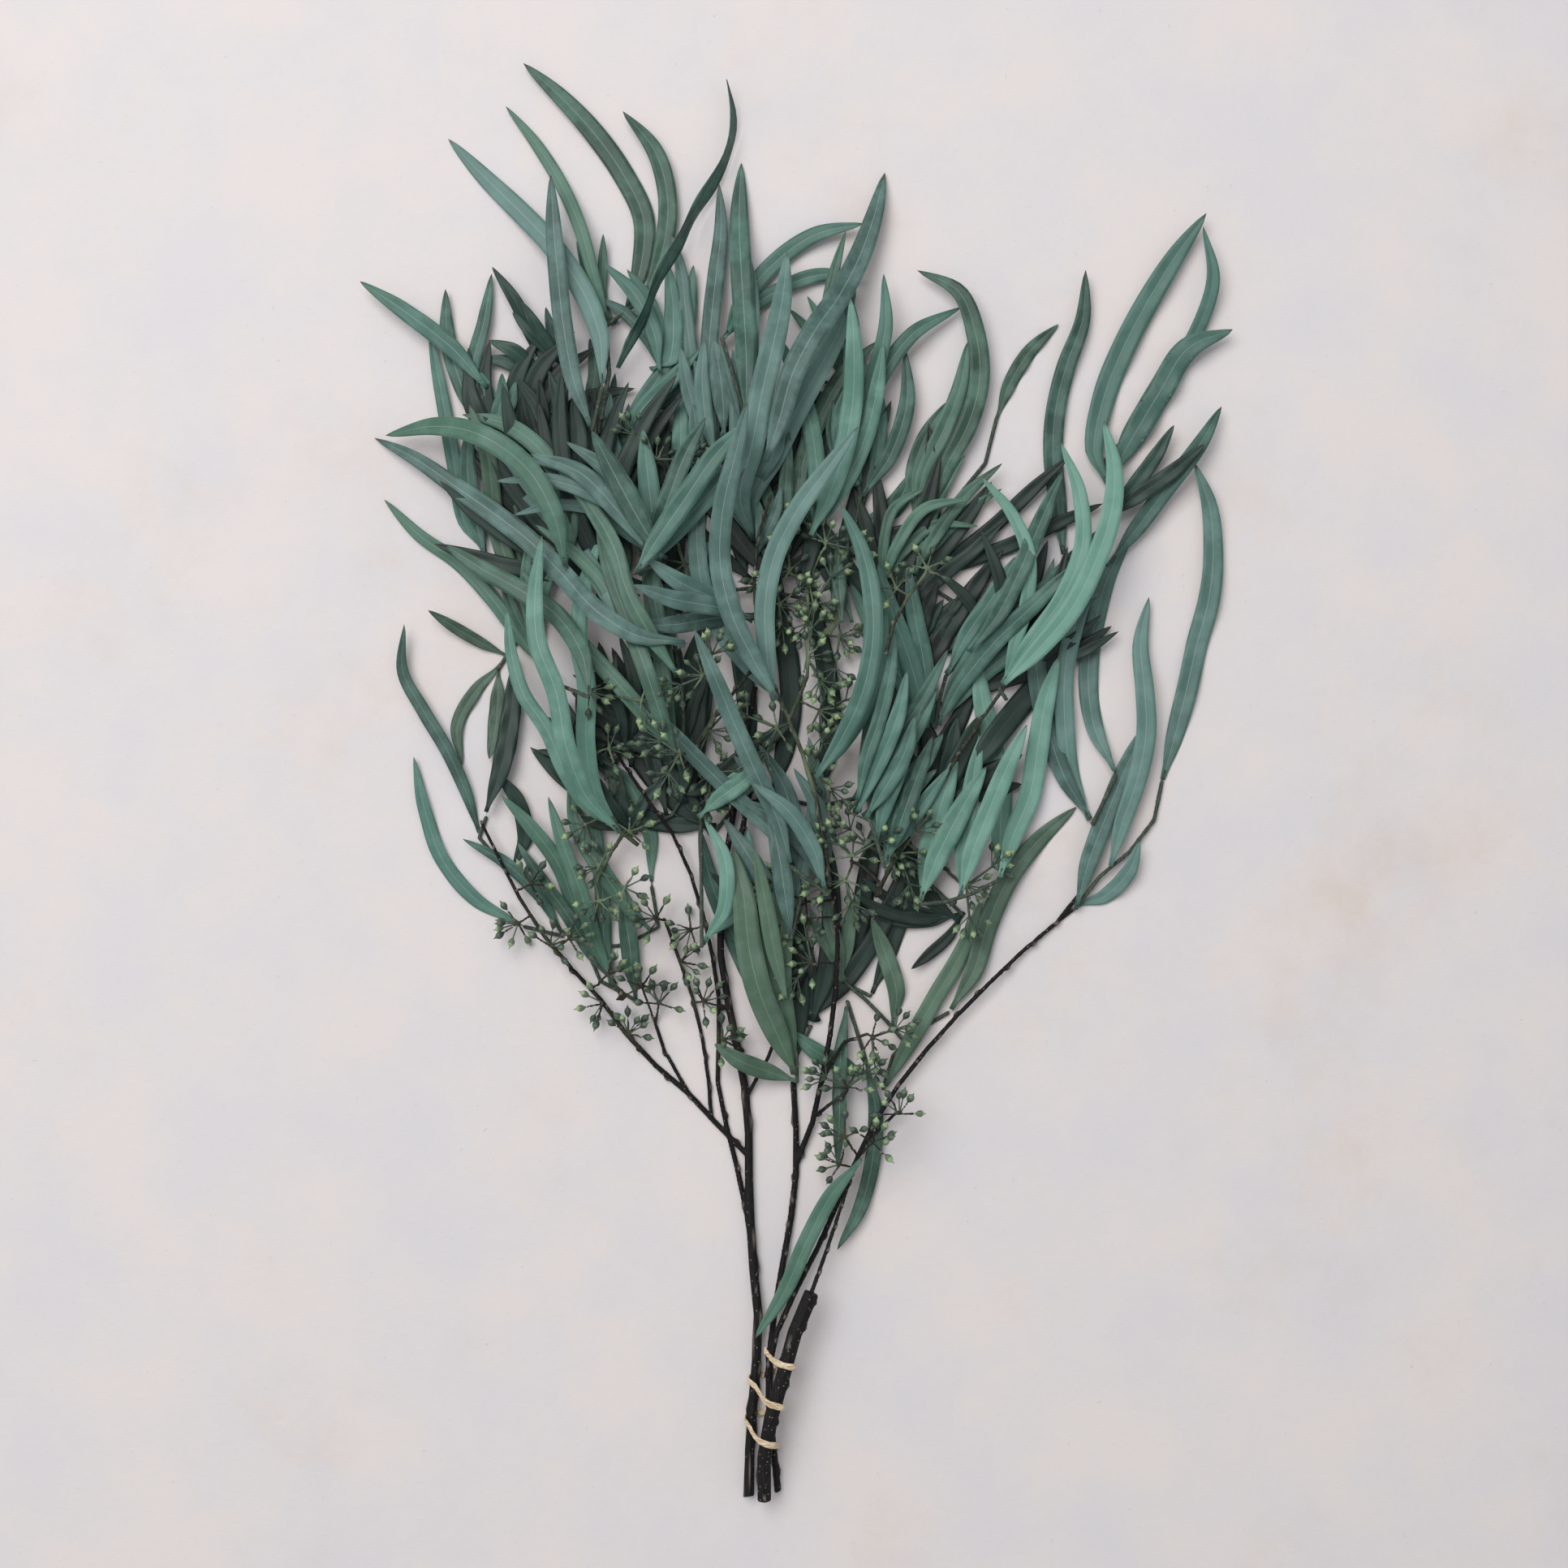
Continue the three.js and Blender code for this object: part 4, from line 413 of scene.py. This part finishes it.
LEAF_FINISH = {
    "slate": waxy_leaf("slate_waxy_leaf", "5b7b73", "37514a", "74938c", "98b1a7", 0.5),
    "teal": waxy_leaf("teal_waxy_leaf", "4a7165", "27463c", "658a7e", "8fb0a2", 0.48),
    "mint": waxy_leaf("pale_bloomed_leaf", "649080", "476d60", "7da496", "9dbcae", 0.52),
    "green": waxy_leaf("green_leaf", "486c5b", "284236", "628676", "88a592", 0.46),
    "olive": waxy_leaf("olive_underside_leaf", "4f6b57", "33483b", "667f6f", "7f957e", 0.5),
    # outer: a lighter copy of the dark leaf green with painted light, for dark shoots' leaves out in the open
    "outer": waxy_leaf("outer_painted_lit_leaf", "46695e", "2a463d", "5e8176", "84a297", 0.48),
    # deep: the leaf green darkened with painted shade, for the low shoots buried in the heap
    "deep": waxy_leaf("deep_painted_shade_leaf", "1e342d", "0b1713", "2a423a", "384e44", 0.5),
    "dark": waxy_leaf("dark_shaded_leaf", "2b463d", "13241f", "3c584f", "4c6a5f", 0.46),
}
print("leaf finishes:", ", ".join(LEAF_FINISH))

# %% [markdown]
# ## Undergrowth
# The frame holds the leaves that carry the shape of the bunch. Low in the heap a real bunch has many more
# that only show as dark green between them. So a leaf of the lowest shoots may get six sisters, and any
# other leaf two, turned a little about its own foot and pressed down. A sister is kept only
# where the leaves already crowd, which fills the heap without changing its outline.

# %% Sisters of a leaf
LOW_SHOOTS = [node for node in frame["nodes"] if SLOT_OF[node] == "dark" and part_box(node)[0].z < 1 * MM
              and node not in ("leaves_upper_right", "leaves_upper_left")]
CROWD = [(a + b) / 2 for leaves, _, _ in shoots.values() for _, rings in leaves for a, b, _ in rings]
CROWD += [tip for leaves, _, _ in shoots.values() for tip, _ in leaves]


def crowded(point, wanted, reach=24 * MM):
    """Whether enough other leaves are near a point, seen from above."""
    return sum(1 for p in CROWD if math.hypot(p.x - point.x, p.y - point.y) < reach) >= wanted


def sister(tip, rings, angle, press, size):
    """A leaf like this one turned about its foot, pressed down to a share of its height."""
    foot = (rings[-1][0] + rings[-1][1]) / 2
    turn = (Matrix.Translation(foot) @ Matrix.Rotation(angle, 4, "Z") @ Matrix.Scale(size, 4)
            @ Matrix.Translation(-foot))

    def moved(points):
        points = [turn @ point for point in points]
        lowest = min(point.z for point in points)
        drop = lowest - max(lowest * press, 1.6 * MM)
        return tuple(point - Vector((0, 0, drop)) for point in points)

    return moved([tip])[0], [moved(ring) for ring in rings]


def inside_box(point, room=0.0):
    return all(low[i] - room <= point[i] <= high[i] + room for i in range(3)) and point.z > 1.0 * MM


chance = random.Random(11)


def family_of(node, leaves):
    """A shoot's leaves and the sisters that the crowd round them hides the outline of."""
    family = list(leaves)
    for tip, rings in leaves:
        for way in (-3, -2, -1, 1, 2, 3) if node in LOW_SHOOTS else (-1, 1):
            turn = way * chance.uniform(0.14, 0.4)
            kin = sister(tip, rings, turn, chance.uniform(0.45, 0.75), chance.uniform(0.8, 1.05))
            centre = (kin[1][0][0] + kin[1][0][1]) / 2
            if crowded(kin[0], 5) and crowded(centre, 8) and inside_box(kin[0], -4 * MM):
                family.append(kin)
    return family


# %% [markdown]
# ## Growing the leaves
# Leaves are dark where others shade them and blue-green where they lie in the light; that shade and light
# are painted into their finishes. A dark shoot may reach out of the heap, so its leaves are sorted into
# those in the crowd and those in the open, and each lot is one mesh with its own finish: painted shade in
# the crowd, a painted lit green in the open. One mesh per leaf would be far slower.

# %% Grow all the leaves, a piece for each shoot and another for its leaves in the open
OPEN_CROWD = 8                  # fewer neighbours than this is out in the open


def in_the_open(leaf):
    """Whether half of a leaf or more lies outside the crowd."""
    _, rings = leaf
    alone = sum(1 for a, b, _ in rings if not crowded((a + b) / 2, OPEN_CROWD))
    return alone * 2 >= len(rings)


leaf_count = 0
for node, (leaves, buds, wood) in shoots.items():
    if not leaves:
        continue
    family = family_of(node, leaves)
    leaf_count += len(family)
    # Painted shade: low shoots take the deep finish; leaves of dark shoots out in the open take the outer
    # finish, a lit copy of the same green.
    kind = "deep" if node in LOW_SHOOTS else SLOT_OF[node]
    outer = [leaf for leaf in family if kind in ("deep", "dark") and in_the_open(leaf)]
    inner = [leaf for leaf in family if leaf not in outer]
    for name, group, finish in (("blades", inner, kind), ("outer", outer, "outer")):
        points, faces, attributes = [], [], []
        for tip, rings in group:
            grown, marks = grow_leaf(tip, rings, chance)
            faces += leaf_faces(len(points), ALONG)
            for (top, under), mark in zip(grown, marks):
                points += [top, under]
                attributes += [mark, mark]
        if group:
            make_piece(node + "." + name, node, points, faces, attributes, ("across", "along", "tint"),
                       LEAF_FINISH.get(finish, LEAF_FINISH["green"]))
print(leaf_count, "leaves grown")

# %% [markdown]
# ## Wood
# What is left of a stand-in is its twigs and bud stalks, square in section and joined at sharp corners.
# Remeshing that into small even cells and relaxing it gives round twigs with soft forks, the way
# a real shoot thickens where it branches. The cells are 0.5 mm, a quarter of a thin twig's width.

# %% Skin the wood of a shoot
CELL = 0.5 * MM
SWELL = 0.25 * MM               # what relaxing takes off a twig, given back


def close_holes(mesh):
    edges = [edge for edge in mesh.edges if len(edge.link_faces) == 1]
    bmesh.ops.holes_fill(mesh, edges=edges, sides=0)
    bmesh.ops.triangulate(mesh, faces=mesh.faces[:])
    bmesh.ops.recalc_face_normals(mesh, faces=mesh.faces[:])


def skin_wood(name, mesh):
    """A smooth mesh object over closed rough wood."""
    data = bpy.data.meshes.new(name)
    mesh.to_mesh(data)
    piece = bpy.data.objects.new(name, data)
    bpy.context.scene.collection.objects.link(piece)
    remesh = piece.modifiers.new("cells", "REMESH")
    remesh.mode, remesh.voxel_size, remesh.use_smooth_shade = "VOXEL", CELL, True
    relax = piece.modifiers.new("relax", "SMOOTH")
    relax.factor, relax.iterations = 0.5, 5
    swell = piece.modifiers.new("swell", "DISPLACE")
    swell.strength, swell.mid_level = SWELL, 0.0
    thin = piece.modifiers.new("thin", "DECIMATE")
    thin.ratio = 0.35
    shaped = bpy.data.meshes.new_from_object(piece.evaluated_get(bpy.context.evaluated_depsgraph_get()))
    piece.modifiers.clear()
    piece.data = shaped
    shaped.name = name
    return piece


# %% [markdown]
# ## Scars
# A dropped leaf leaves a small pale scar on a swollen knot, every 10 to 20 mm along a stem. Each knot
# here is a soft lump pushed out of the skinned wood, and the points at its top are marked so that
# the bark can be pale there. Displacement in the finish could not be seen from the side.

# %% Raise knots along a piece of wood
KNOT_REACH = 2.6 * MM
KNOT_HEIGHT = 1.0 * MM
SCAR_REACH = 1.0 * MM
KNOT_SPACING = 11 * MM
KNOT_TRIES = 4000               # points tried on one shoot


def raise_knots(mesh, chance):
    """Lumps on the wood, some way apart; returns how much each point is a scar."""
    points = [vertex.co.copy() for vertex in mesh.vertices]
    tree = kdtree.KDTree(len(points))
    for index, point in enumerate(points):
        tree.insert(point, index)
    tree.balance()
    scar, placed = [0.0] * len(points), []
    order = list(range(len(points)))
    chance.shuffle(order)
    normals = [vertex.normal.copy() for vertex in mesh.vertices]
    for index in order[:KNOT_TRIES]:
        crowding = any((points[index] - p).length < KNOT_SPACING for p in placed)
        if normals[index].z < -0.2 or crowding:
            continue
        placed.append(points[index])
        for _, near, away in tree.find_range(points[index], KNOT_REACH):
            lump = (1 - (away / KNOT_REACH) ** 2) ** 2
            mesh.vertices[near].co += normals[index] * KNOT_HEIGHT * lump
            if away < SCAR_REACH:
                scar[near] = 1.0
    return scar


# %% [markdown]
# ## Finish of the wood
# Thick stems are old bark, nearly black and dull with pale breathing pores; thin twigs and bud stalks are
# still green-brown. Thickness isn't known to a finish, so each point keeps how near it is to a bud.

# %% Bark and young twig
def bark(name, old, worn, young, pore):
    """Twig finish that runs from old bark to young green near the buds."""
    material, surface = start_material(name)
    youth = add_node(material, "Attribute", {"attribute_name": "young"}).outputs["Fac"]
    place = add_node(material, "TexCoord").outputs["Object"]
    # Bark streaks run up the stem, 1 to 3 mm long.
    stretched = add_node(material, "Mapping", Vector=place, Scale=(900, 260, 900)).outputs[0]
    streaks = add_node(material, "TexNoise", Vector=stretched, Scale=1.0, Detail=4.0,
                       Roughness=0.65).outputs["Fac"]
    blotches = add_node(material, "TexNoise", Vector=place, Scale=60.0, Detail=3.0).outputs["Fac"]
    pores = add_node(material, "TexVoronoi", Vector=place, Scale=420.0, Randomness=1.0).outputs["Distance"]
    streaked = add_node(material, "MapRange", STEP, _0=streaks, _1=0.42, _2=0.7).outputs[0]
    skin = add_node(material, "Mix", COLOURS, _0=streaked, _6=srgb(old), _7=srgb(worn)).outputs[2]
    spots = add_node(material, "MapRange", STEP, _0=pores, _1=0.17, _2=0.1).outputs[0]
    skin = add_node(material, "Mix", COLOURS, _0=spots, _6=skin, _7=srgb(pore)).outputs[2]
    patched = add_node(material, "MapRange", STEP, _0=blotches, _1=0.4, _2=0.65).outputs[0]
    green = add_node(material, "Mix", COLOURS, _0=patched, _6=srgb(young), _7=srgb(worn)).outputs[2]
    skin = add_node(material, "Mix", COLOURS, _0=youth, _6=skin, _7=green).outputs[2]
    scar = add_node(material, "Attribute", {"attribute_name": "scar"}).outputs["Fac"]
    dull = add_node(material, "Math", TIMES, _0=scar, _1=0.6).outputs[0]
    skin = add_node(material, "Mix", COLOURS, _0=dull, _6=skin, _7=srgb(pore)).outputs[2]
    material.node_tree.links.new(skin, surface.inputs["Base Color"])
    surface.inputs["Roughness"].default_value = 0.72
    surface.inputs["Specular IOR Level"].default_value = 0.28
    bump = add_node(material, "Bump", Strength=0.5, Distance=0.0003, Height=streaks)
    material.node_tree.links.new(bump.outputs[0], surface.inputs["Normal"])
    return material


WOOD_FINISH = {
    "bark": bark("dark_bark", "0c0a0c", "1e1a1a", "3c3d2e", "81776e"),
    "fruiting": bark("fruiting_twig", "26261f", "444a3c", "66765c", "75776a"),
}
LEAFY_TWIG = bark("leafy_twig", "38403a", "52604f", "66765c", "7a8072")

# %% [markdown]
# ## Buds
# Each umbel holds about seven buds on 8 mm stalks. A bud is turned: a green cup that swells from its
# stalk, and a paler pointed cap on a fine line. The stand-ins carry half of them, so the rest are
# added between those, fanned round the umbel's own middle direction.

# %% Turned shape of a bud
BUD_PROFILE = [(0.0, 0.3), (0.5, 0.5), (1.2, 1.0), (2.0, 1.52), (2.8, 1.78), (3.5, 1.82), (3.62, 1.73),
               (3.75, 1.77), (4.4, 1.5), (4.9, 1.05), (5.3, 0.6), (6.0, 0.32), (7.0, 0.0)]
ROUND = 10


def frame_round(axis):
    """Two directions square to the axis."""
    side = axis.orthogonal().normalized()
    return side, axis.cross(side).normalized()


def turned_bud(foot, axis, size, tint):
    """Points, faces and marks of one bud standing on its foot."""
    side, other = frame_round(axis)
    points, faces, marks = [], [], []
    for high_mm, radius_mm in BUD_PROFILE:
        for k in range(ROUND):
            turn = 2 * math.pi * k / ROUND
            ridge = 1 + 0.04 * math.cos(2 * turn)
            radius = max(radius_mm, 0.02) * ridge * size * MM
            out = (side * math.cos(turn) + other * math.sin(turn)) * radius
            points.append(foot + axis * (high_mm * size * MM) + out)
            marks.append((1.0 if high_mm > 3.7 else 0.0, high_mm / 7.0, tint))
    rows = len(BUD_PROFILE)
    for i in range(rows - 1):
        for k in range(ROUND):
            n = (k + 1) % ROUND
            faces.append((i * ROUND + k, i * ROUND + n, (i + 1) * ROUND + n, (i + 1) * ROUND + k))
    faces.append(tuple(range(ROUND))[::-1])
    faces.append(tuple((rows - 1) * ROUND + k for k in range(ROUND)))
    return points, faces, marks


def stalk(start, end, thick_start, thick_end):
    """A thin bent stalk of five rings from the umbel to a bud."""
    axis = (end - start).normalized()
    side, other = frame_round(axis)
    points, faces, around = [], [], 6
    for i in range(5):
        t = i / 4
        centre = start.lerp(end, t) + Vector((0, 0, -0.5 * MM)) * math.sin(math.pi * t)
        radius = thick_start + (thick_end - thick_start) * t
        for k in range(around):
            turn = 2 * math.pi * k / around
            points.append(centre + (side * math.cos(turn) + other * math.sin(turn)) * radius)
    for i in range(4):
        for k in range(around):
            n = (k + 1) % around
            faces.append((i * around + k, i * around + n, (i + 1) * around + n, (i + 1) * around + k))
    faces.append(tuple(range(around))[::-1])
    faces.append(tuple(4 * around + k for k in range(around)))
    return points, faces, [(0.0, 0.0, 0.5)] * len(points)


# %% Green cup and paler cap
def bud_finish():
    material, surface = start_material("green_bud")
    cap = add_node(material, "Attribute", {"attribute_name": "cap"}).outputs["Fac"]
    rise = add_node(material, "Attribute", {"attribute_name": "rise"}).outputs["Fac"]
    tint = add_node(material, "Attribute", {"attribute_name": "tint"}).outputs["Fac"]
    place = add_node(material, "TexCoord").outputs["Object"]
    specks = add_node(material, "TexNoise", Vector=place, Scale=800.0, Detail=3.0).outputs["Fac"]
    bright = add_node(material, "MapRange", STEP, _0=tint, _1=0.3, _2=0.95).outputs[0]
    cup = add_node(material, "Mix", COLOURS, _0=bright, _6=srgb("33433a"), _7=srgb("5f7559")).outputs[2]
    lid = add_node(material, "Mix", COLOURS, _0=bright, _6=srgb("4a5f49"), _7=srgb("93a97c")).outputs[2]
    body = add_node(material, "Mix", COLOURS, _0=cap, _6=cup, _7=lid).outputs[2]
    point = add_node(material, "MapRange", STEP, _0=rise, _1=0.78, _2=1.0).outputs[0]
    body = add_node(material, "Mix", COLOURS, _0=point, _6=body, _7=srgb("4d4c38")).outputs[2]
    dots = add_node(material, "MapRange", STEP, _0=specks, _1=0.55, _2=0.75).outputs[0]
    freckle = add_node(material, "Math", TIMES, _0=dots, _1=0.4).outputs[0]
    body = add_node(material, "Mix", COLOURS, _0=freckle, _6=body, _7=srgb("26311f")).outputs[2]
    material.node_tree.links.new(body, surface.inputs["Base Color"])
    surface.inputs["Roughness"].default_value = 0.5
    bump = add_node(material, "Bump", Strength=0.3, Distance=0.0002, Height=specks)
    material.node_tree.links.new(bump.outputs[0], surface.inputs["Normal"])
    return material


GREEN_BUD = bud_finish()

# %% Find the umbels, and add buds between those that the frame gives
STALK = 8 * MM
BUD = 7 * MM


def umbels_of(buds):
    """Buds grouped by the point that their stalks leave from."""
    groups = []
    for tip, axis in buds:
        hub = tip - axis * (BUD + STALK)
        near = next((g for g in groups if (g["hub"] - hub).length < 2.5 * MM), None)
        if near:
            near["buds"].append((tip, axis))
        else:
            groups.append({"hub": hub, "buds": [(tip, axis)]})
    return groups


def added_axes(axes, wanted, chance):
    """More directions round the umbel's middle one, well apart from those it has."""
    outward = sum(axes, Vector()).normalized()
    found = list(axes)
    for _ in range(60):
        if len(found) >= wanted:
            break
        side, other = frame_round(outward)
        turn, lean = chance.uniform(0, 6.28), chance.uniform(0.15, 1.25)
        axis = (outward * math.cos(lean) + (side * math.cos(turn) + other * math.sin(turn)) * math.sin(lean))
        axis = Vector((axis.x, axis.y, axis.z * 0.55)).normalized()
        if min(axis.angle(a) for a in found) > 0.42:
            found.append(axis)
    return found[len(axes):]


# %% Side umbels on the same stalk, in the middle of the bunch where they crowd
DENSE = ("buds_centre", "buds_right_low", "stem_middle")


def side_umbels(group, chance):
    """One or two more umbels a little way from the first, each with one bud to fan the rest round."""
    outward = sum((axis for _, axis in group["buds"]), Vector()).normalized()
    found = []
    for way in (-1, 1):
        turn = way * chance.uniform(0.7, 1.5)
        ahead = Matrix.Rotation(turn, 4, "Z") @ outward
        ahead = Vector((ahead.x, ahead.y, ahead.z * 0.4 + 0.05)).normalized()
        hub = group["hub"] + ahead * chance.uniform(10, 16) * MM
        tip = hub + ahead * (STALK + BUD)
        if inside_box(tip, -2 * MM) and hub.z > 4 * MM and tip.z > 4 * MM:
            found.append({"hub": hub, "from": group["hub"].copy(), "buds": [(tip, ahead)], "grown": True})
    return found


# %% [markdown]
# ## Putting wood and buds together
# Every shoot gets one mesh of wood and one of buds with their stalks. The wood keeps how near each of its
# points is to an umbel, which is what turns it green there. A shoot without buds gets wood only.

# %% Make the wood and buds of every shoot
YOUNG_REACH, YOUNG_FADE = 16 * MM, 12 * MM
FULL_UMBEL = 7                  # buds


wood_count = bud_count = 0
for node, (leaves, buds, wood) in shoots.items():
    if node == "tie":
        continue
    groups = umbels_of(buds)
    hubs = [g["hub"] for g in groups]
    if len(wood.verts):
        close_holes(wood)
        piece = skin_wood(node + ".wood", wood)
        mesh = piece.data
        if len(mesh.vertices):
            young = mesh.attributes.new("young", "FLOAT", "POINT")
            values = []
            for vertex in mesh.vertices:
                away = min(((vertex.co - hub).length for hub in hubs), default=1.0)
                values.append(min(max((YOUNG_REACH - away) / YOUNG_FADE, 0.0), 1.0))
            young.data.foreach_set("value", values)
            knotted = SLOT_OF[node] in ("bark", "fruiting")
            scars = mesh.attributes.new("scar", "FLOAT", "POINT")
            scars.data.foreach_set("value", raise_knots(mesh, chance) if knotted else [0.0] * len(values))
            mesh.materials.clear()
            mesh.materials.append(WOOD_FINISH.get(SLOT_OF[node], LEAFY_TWIG))
            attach(piece, "root")
            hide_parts(node)
            wood_count += len(mesh.polygons)
        else:
            bpy.data.objects.remove(piece)
    if not buds:
        continue
    points, faces, marks = [], [], []

    def keep(shape):
        first = len(points)
        points.extend(shape[0])
        faces.extend(tuple(first + k for k in face) for face in shape[1])
        marks.extend(shape[2])

    for group in groups + [g for one in groups if node in DENSE for g in side_umbels(one, chance)]:
        axes = [axis for _, axis in group["buds"]]
        if "from" in group:
            keep(stalk(group["from"], group["hub"], 0.7 * MM, 0.6 * MM))
        for tip, axis in group["buds"]:
            size = chance.uniform(0.9, 1.04)
            if "grown" in group:
                keep(stalk(group["hub"], tip - axis * BUD * size, 0.4 * MM, 0.32 * MM))
            keep(turned_bud(tip - axis * BUD * size, axis, size, chance.random()))
            bud_count += 1
        for axis in added_axes(axes, FULL_UMBEL, chance):
            size = chance.uniform(0.8, 1.0)
            foot = group["hub"] + axis * STALK * chance.uniform(0.75, 1.0)
            if not inside_box(foot + axis * BUD * size) or foot.z < 2.5 * MM:
                continue
            keep(stalk(group["hub"], foot + axis * 0.4 * MM, 0.4 * MM, 0.32 * MM))
            keep(turned_bud(foot, axis, size, chance.random()))
            bud_count += 1
    make_piece(node + ".buds", node, points, faces, marks, ("cap", "rise", "tint"), GREEN_BUD)
print(wood_count, "wood faces,", bud_count, "buds")

# %% [markdown]
# ## Tie
# The tie is one flat strand of raffia wound up the stems. It is a strip of leaf that has dried and curled
# in on itself, so it is thicker at its edges and a little twisted. The frame's strand is smoothed, and
# its points are pushed in and out by a noise that is stretched along the strand to give the creases.

# %% Straw tie
straw, surface = start_material("straw_fibre")
place = add_node(straw, "TexCoord").outputs["Object"]
stretched = add_node(straw, "Mapping", Vector=place, Scale=(200, 1800, 200)).outputs[0]
fibres = add_node(straw, "TexNoise", Vector=stretched, Scale=1.0, Detail=4.0, Roughness=0.7).outputs["Fac"]
amount = add_node(straw, "MapRange", STEP, _0=fibres, _1=0.35, _2=0.65).outputs[0]
blond = add_node(straw, "Mix", COLOURS, _0=amount, _6=srgb("a98a62"), _7=srgb("ecdcc0")).outputs[2]
straw.node_tree.links.new(blond, surface.inputs["Base Color"])
surface.inputs["Roughness"].default_value = 0.55
bump = add_node(straw, "Bump", Strength=0.6, Distance=0.0003, Height=fibres)
straw.node_tree.links.new(bump.outputs[0], surface.inputs["Normal"])

rough = bmesh.new()
rough.from_mesh(frame["nodes"]["tie"].data)
bmesh.ops.remove_doubles(rough, verts=rough.verts, dist=1e-6)
strand = bpy.data.meshes.new("tie.strand")
rough.to_mesh(strand)
tie = bpy.data.objects.new("tie.strand", strand)
bpy.context.scene.collection.objects.link(tie)
tie.modifiers.new("round", "SUBSURF").levels = 2
smooth = bpy.data.meshes.new_from_object(tie.evaluated_get(bpy.context.evaluated_depsgraph_get()))
tie.modifiers.clear()
tie.data = smooth
smooth.polygons.foreach_set("use_smooth", [True] * len(smooth.polygons))
for vertex in smooth.vertices:
    crease = noise.noise(Vector((vertex.co.x * 160, vertex.co.y * 1500, vertex.co.z * 160)))
    vertex.co += vertex.normal * (0.12 + 0.3 * crease) * MM
smooth.materials.clear()
smooth.materials.append(straw)
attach(tie, "root")
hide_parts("tie")
print("tie smoothed:", len(smooth.polygons), "faces")
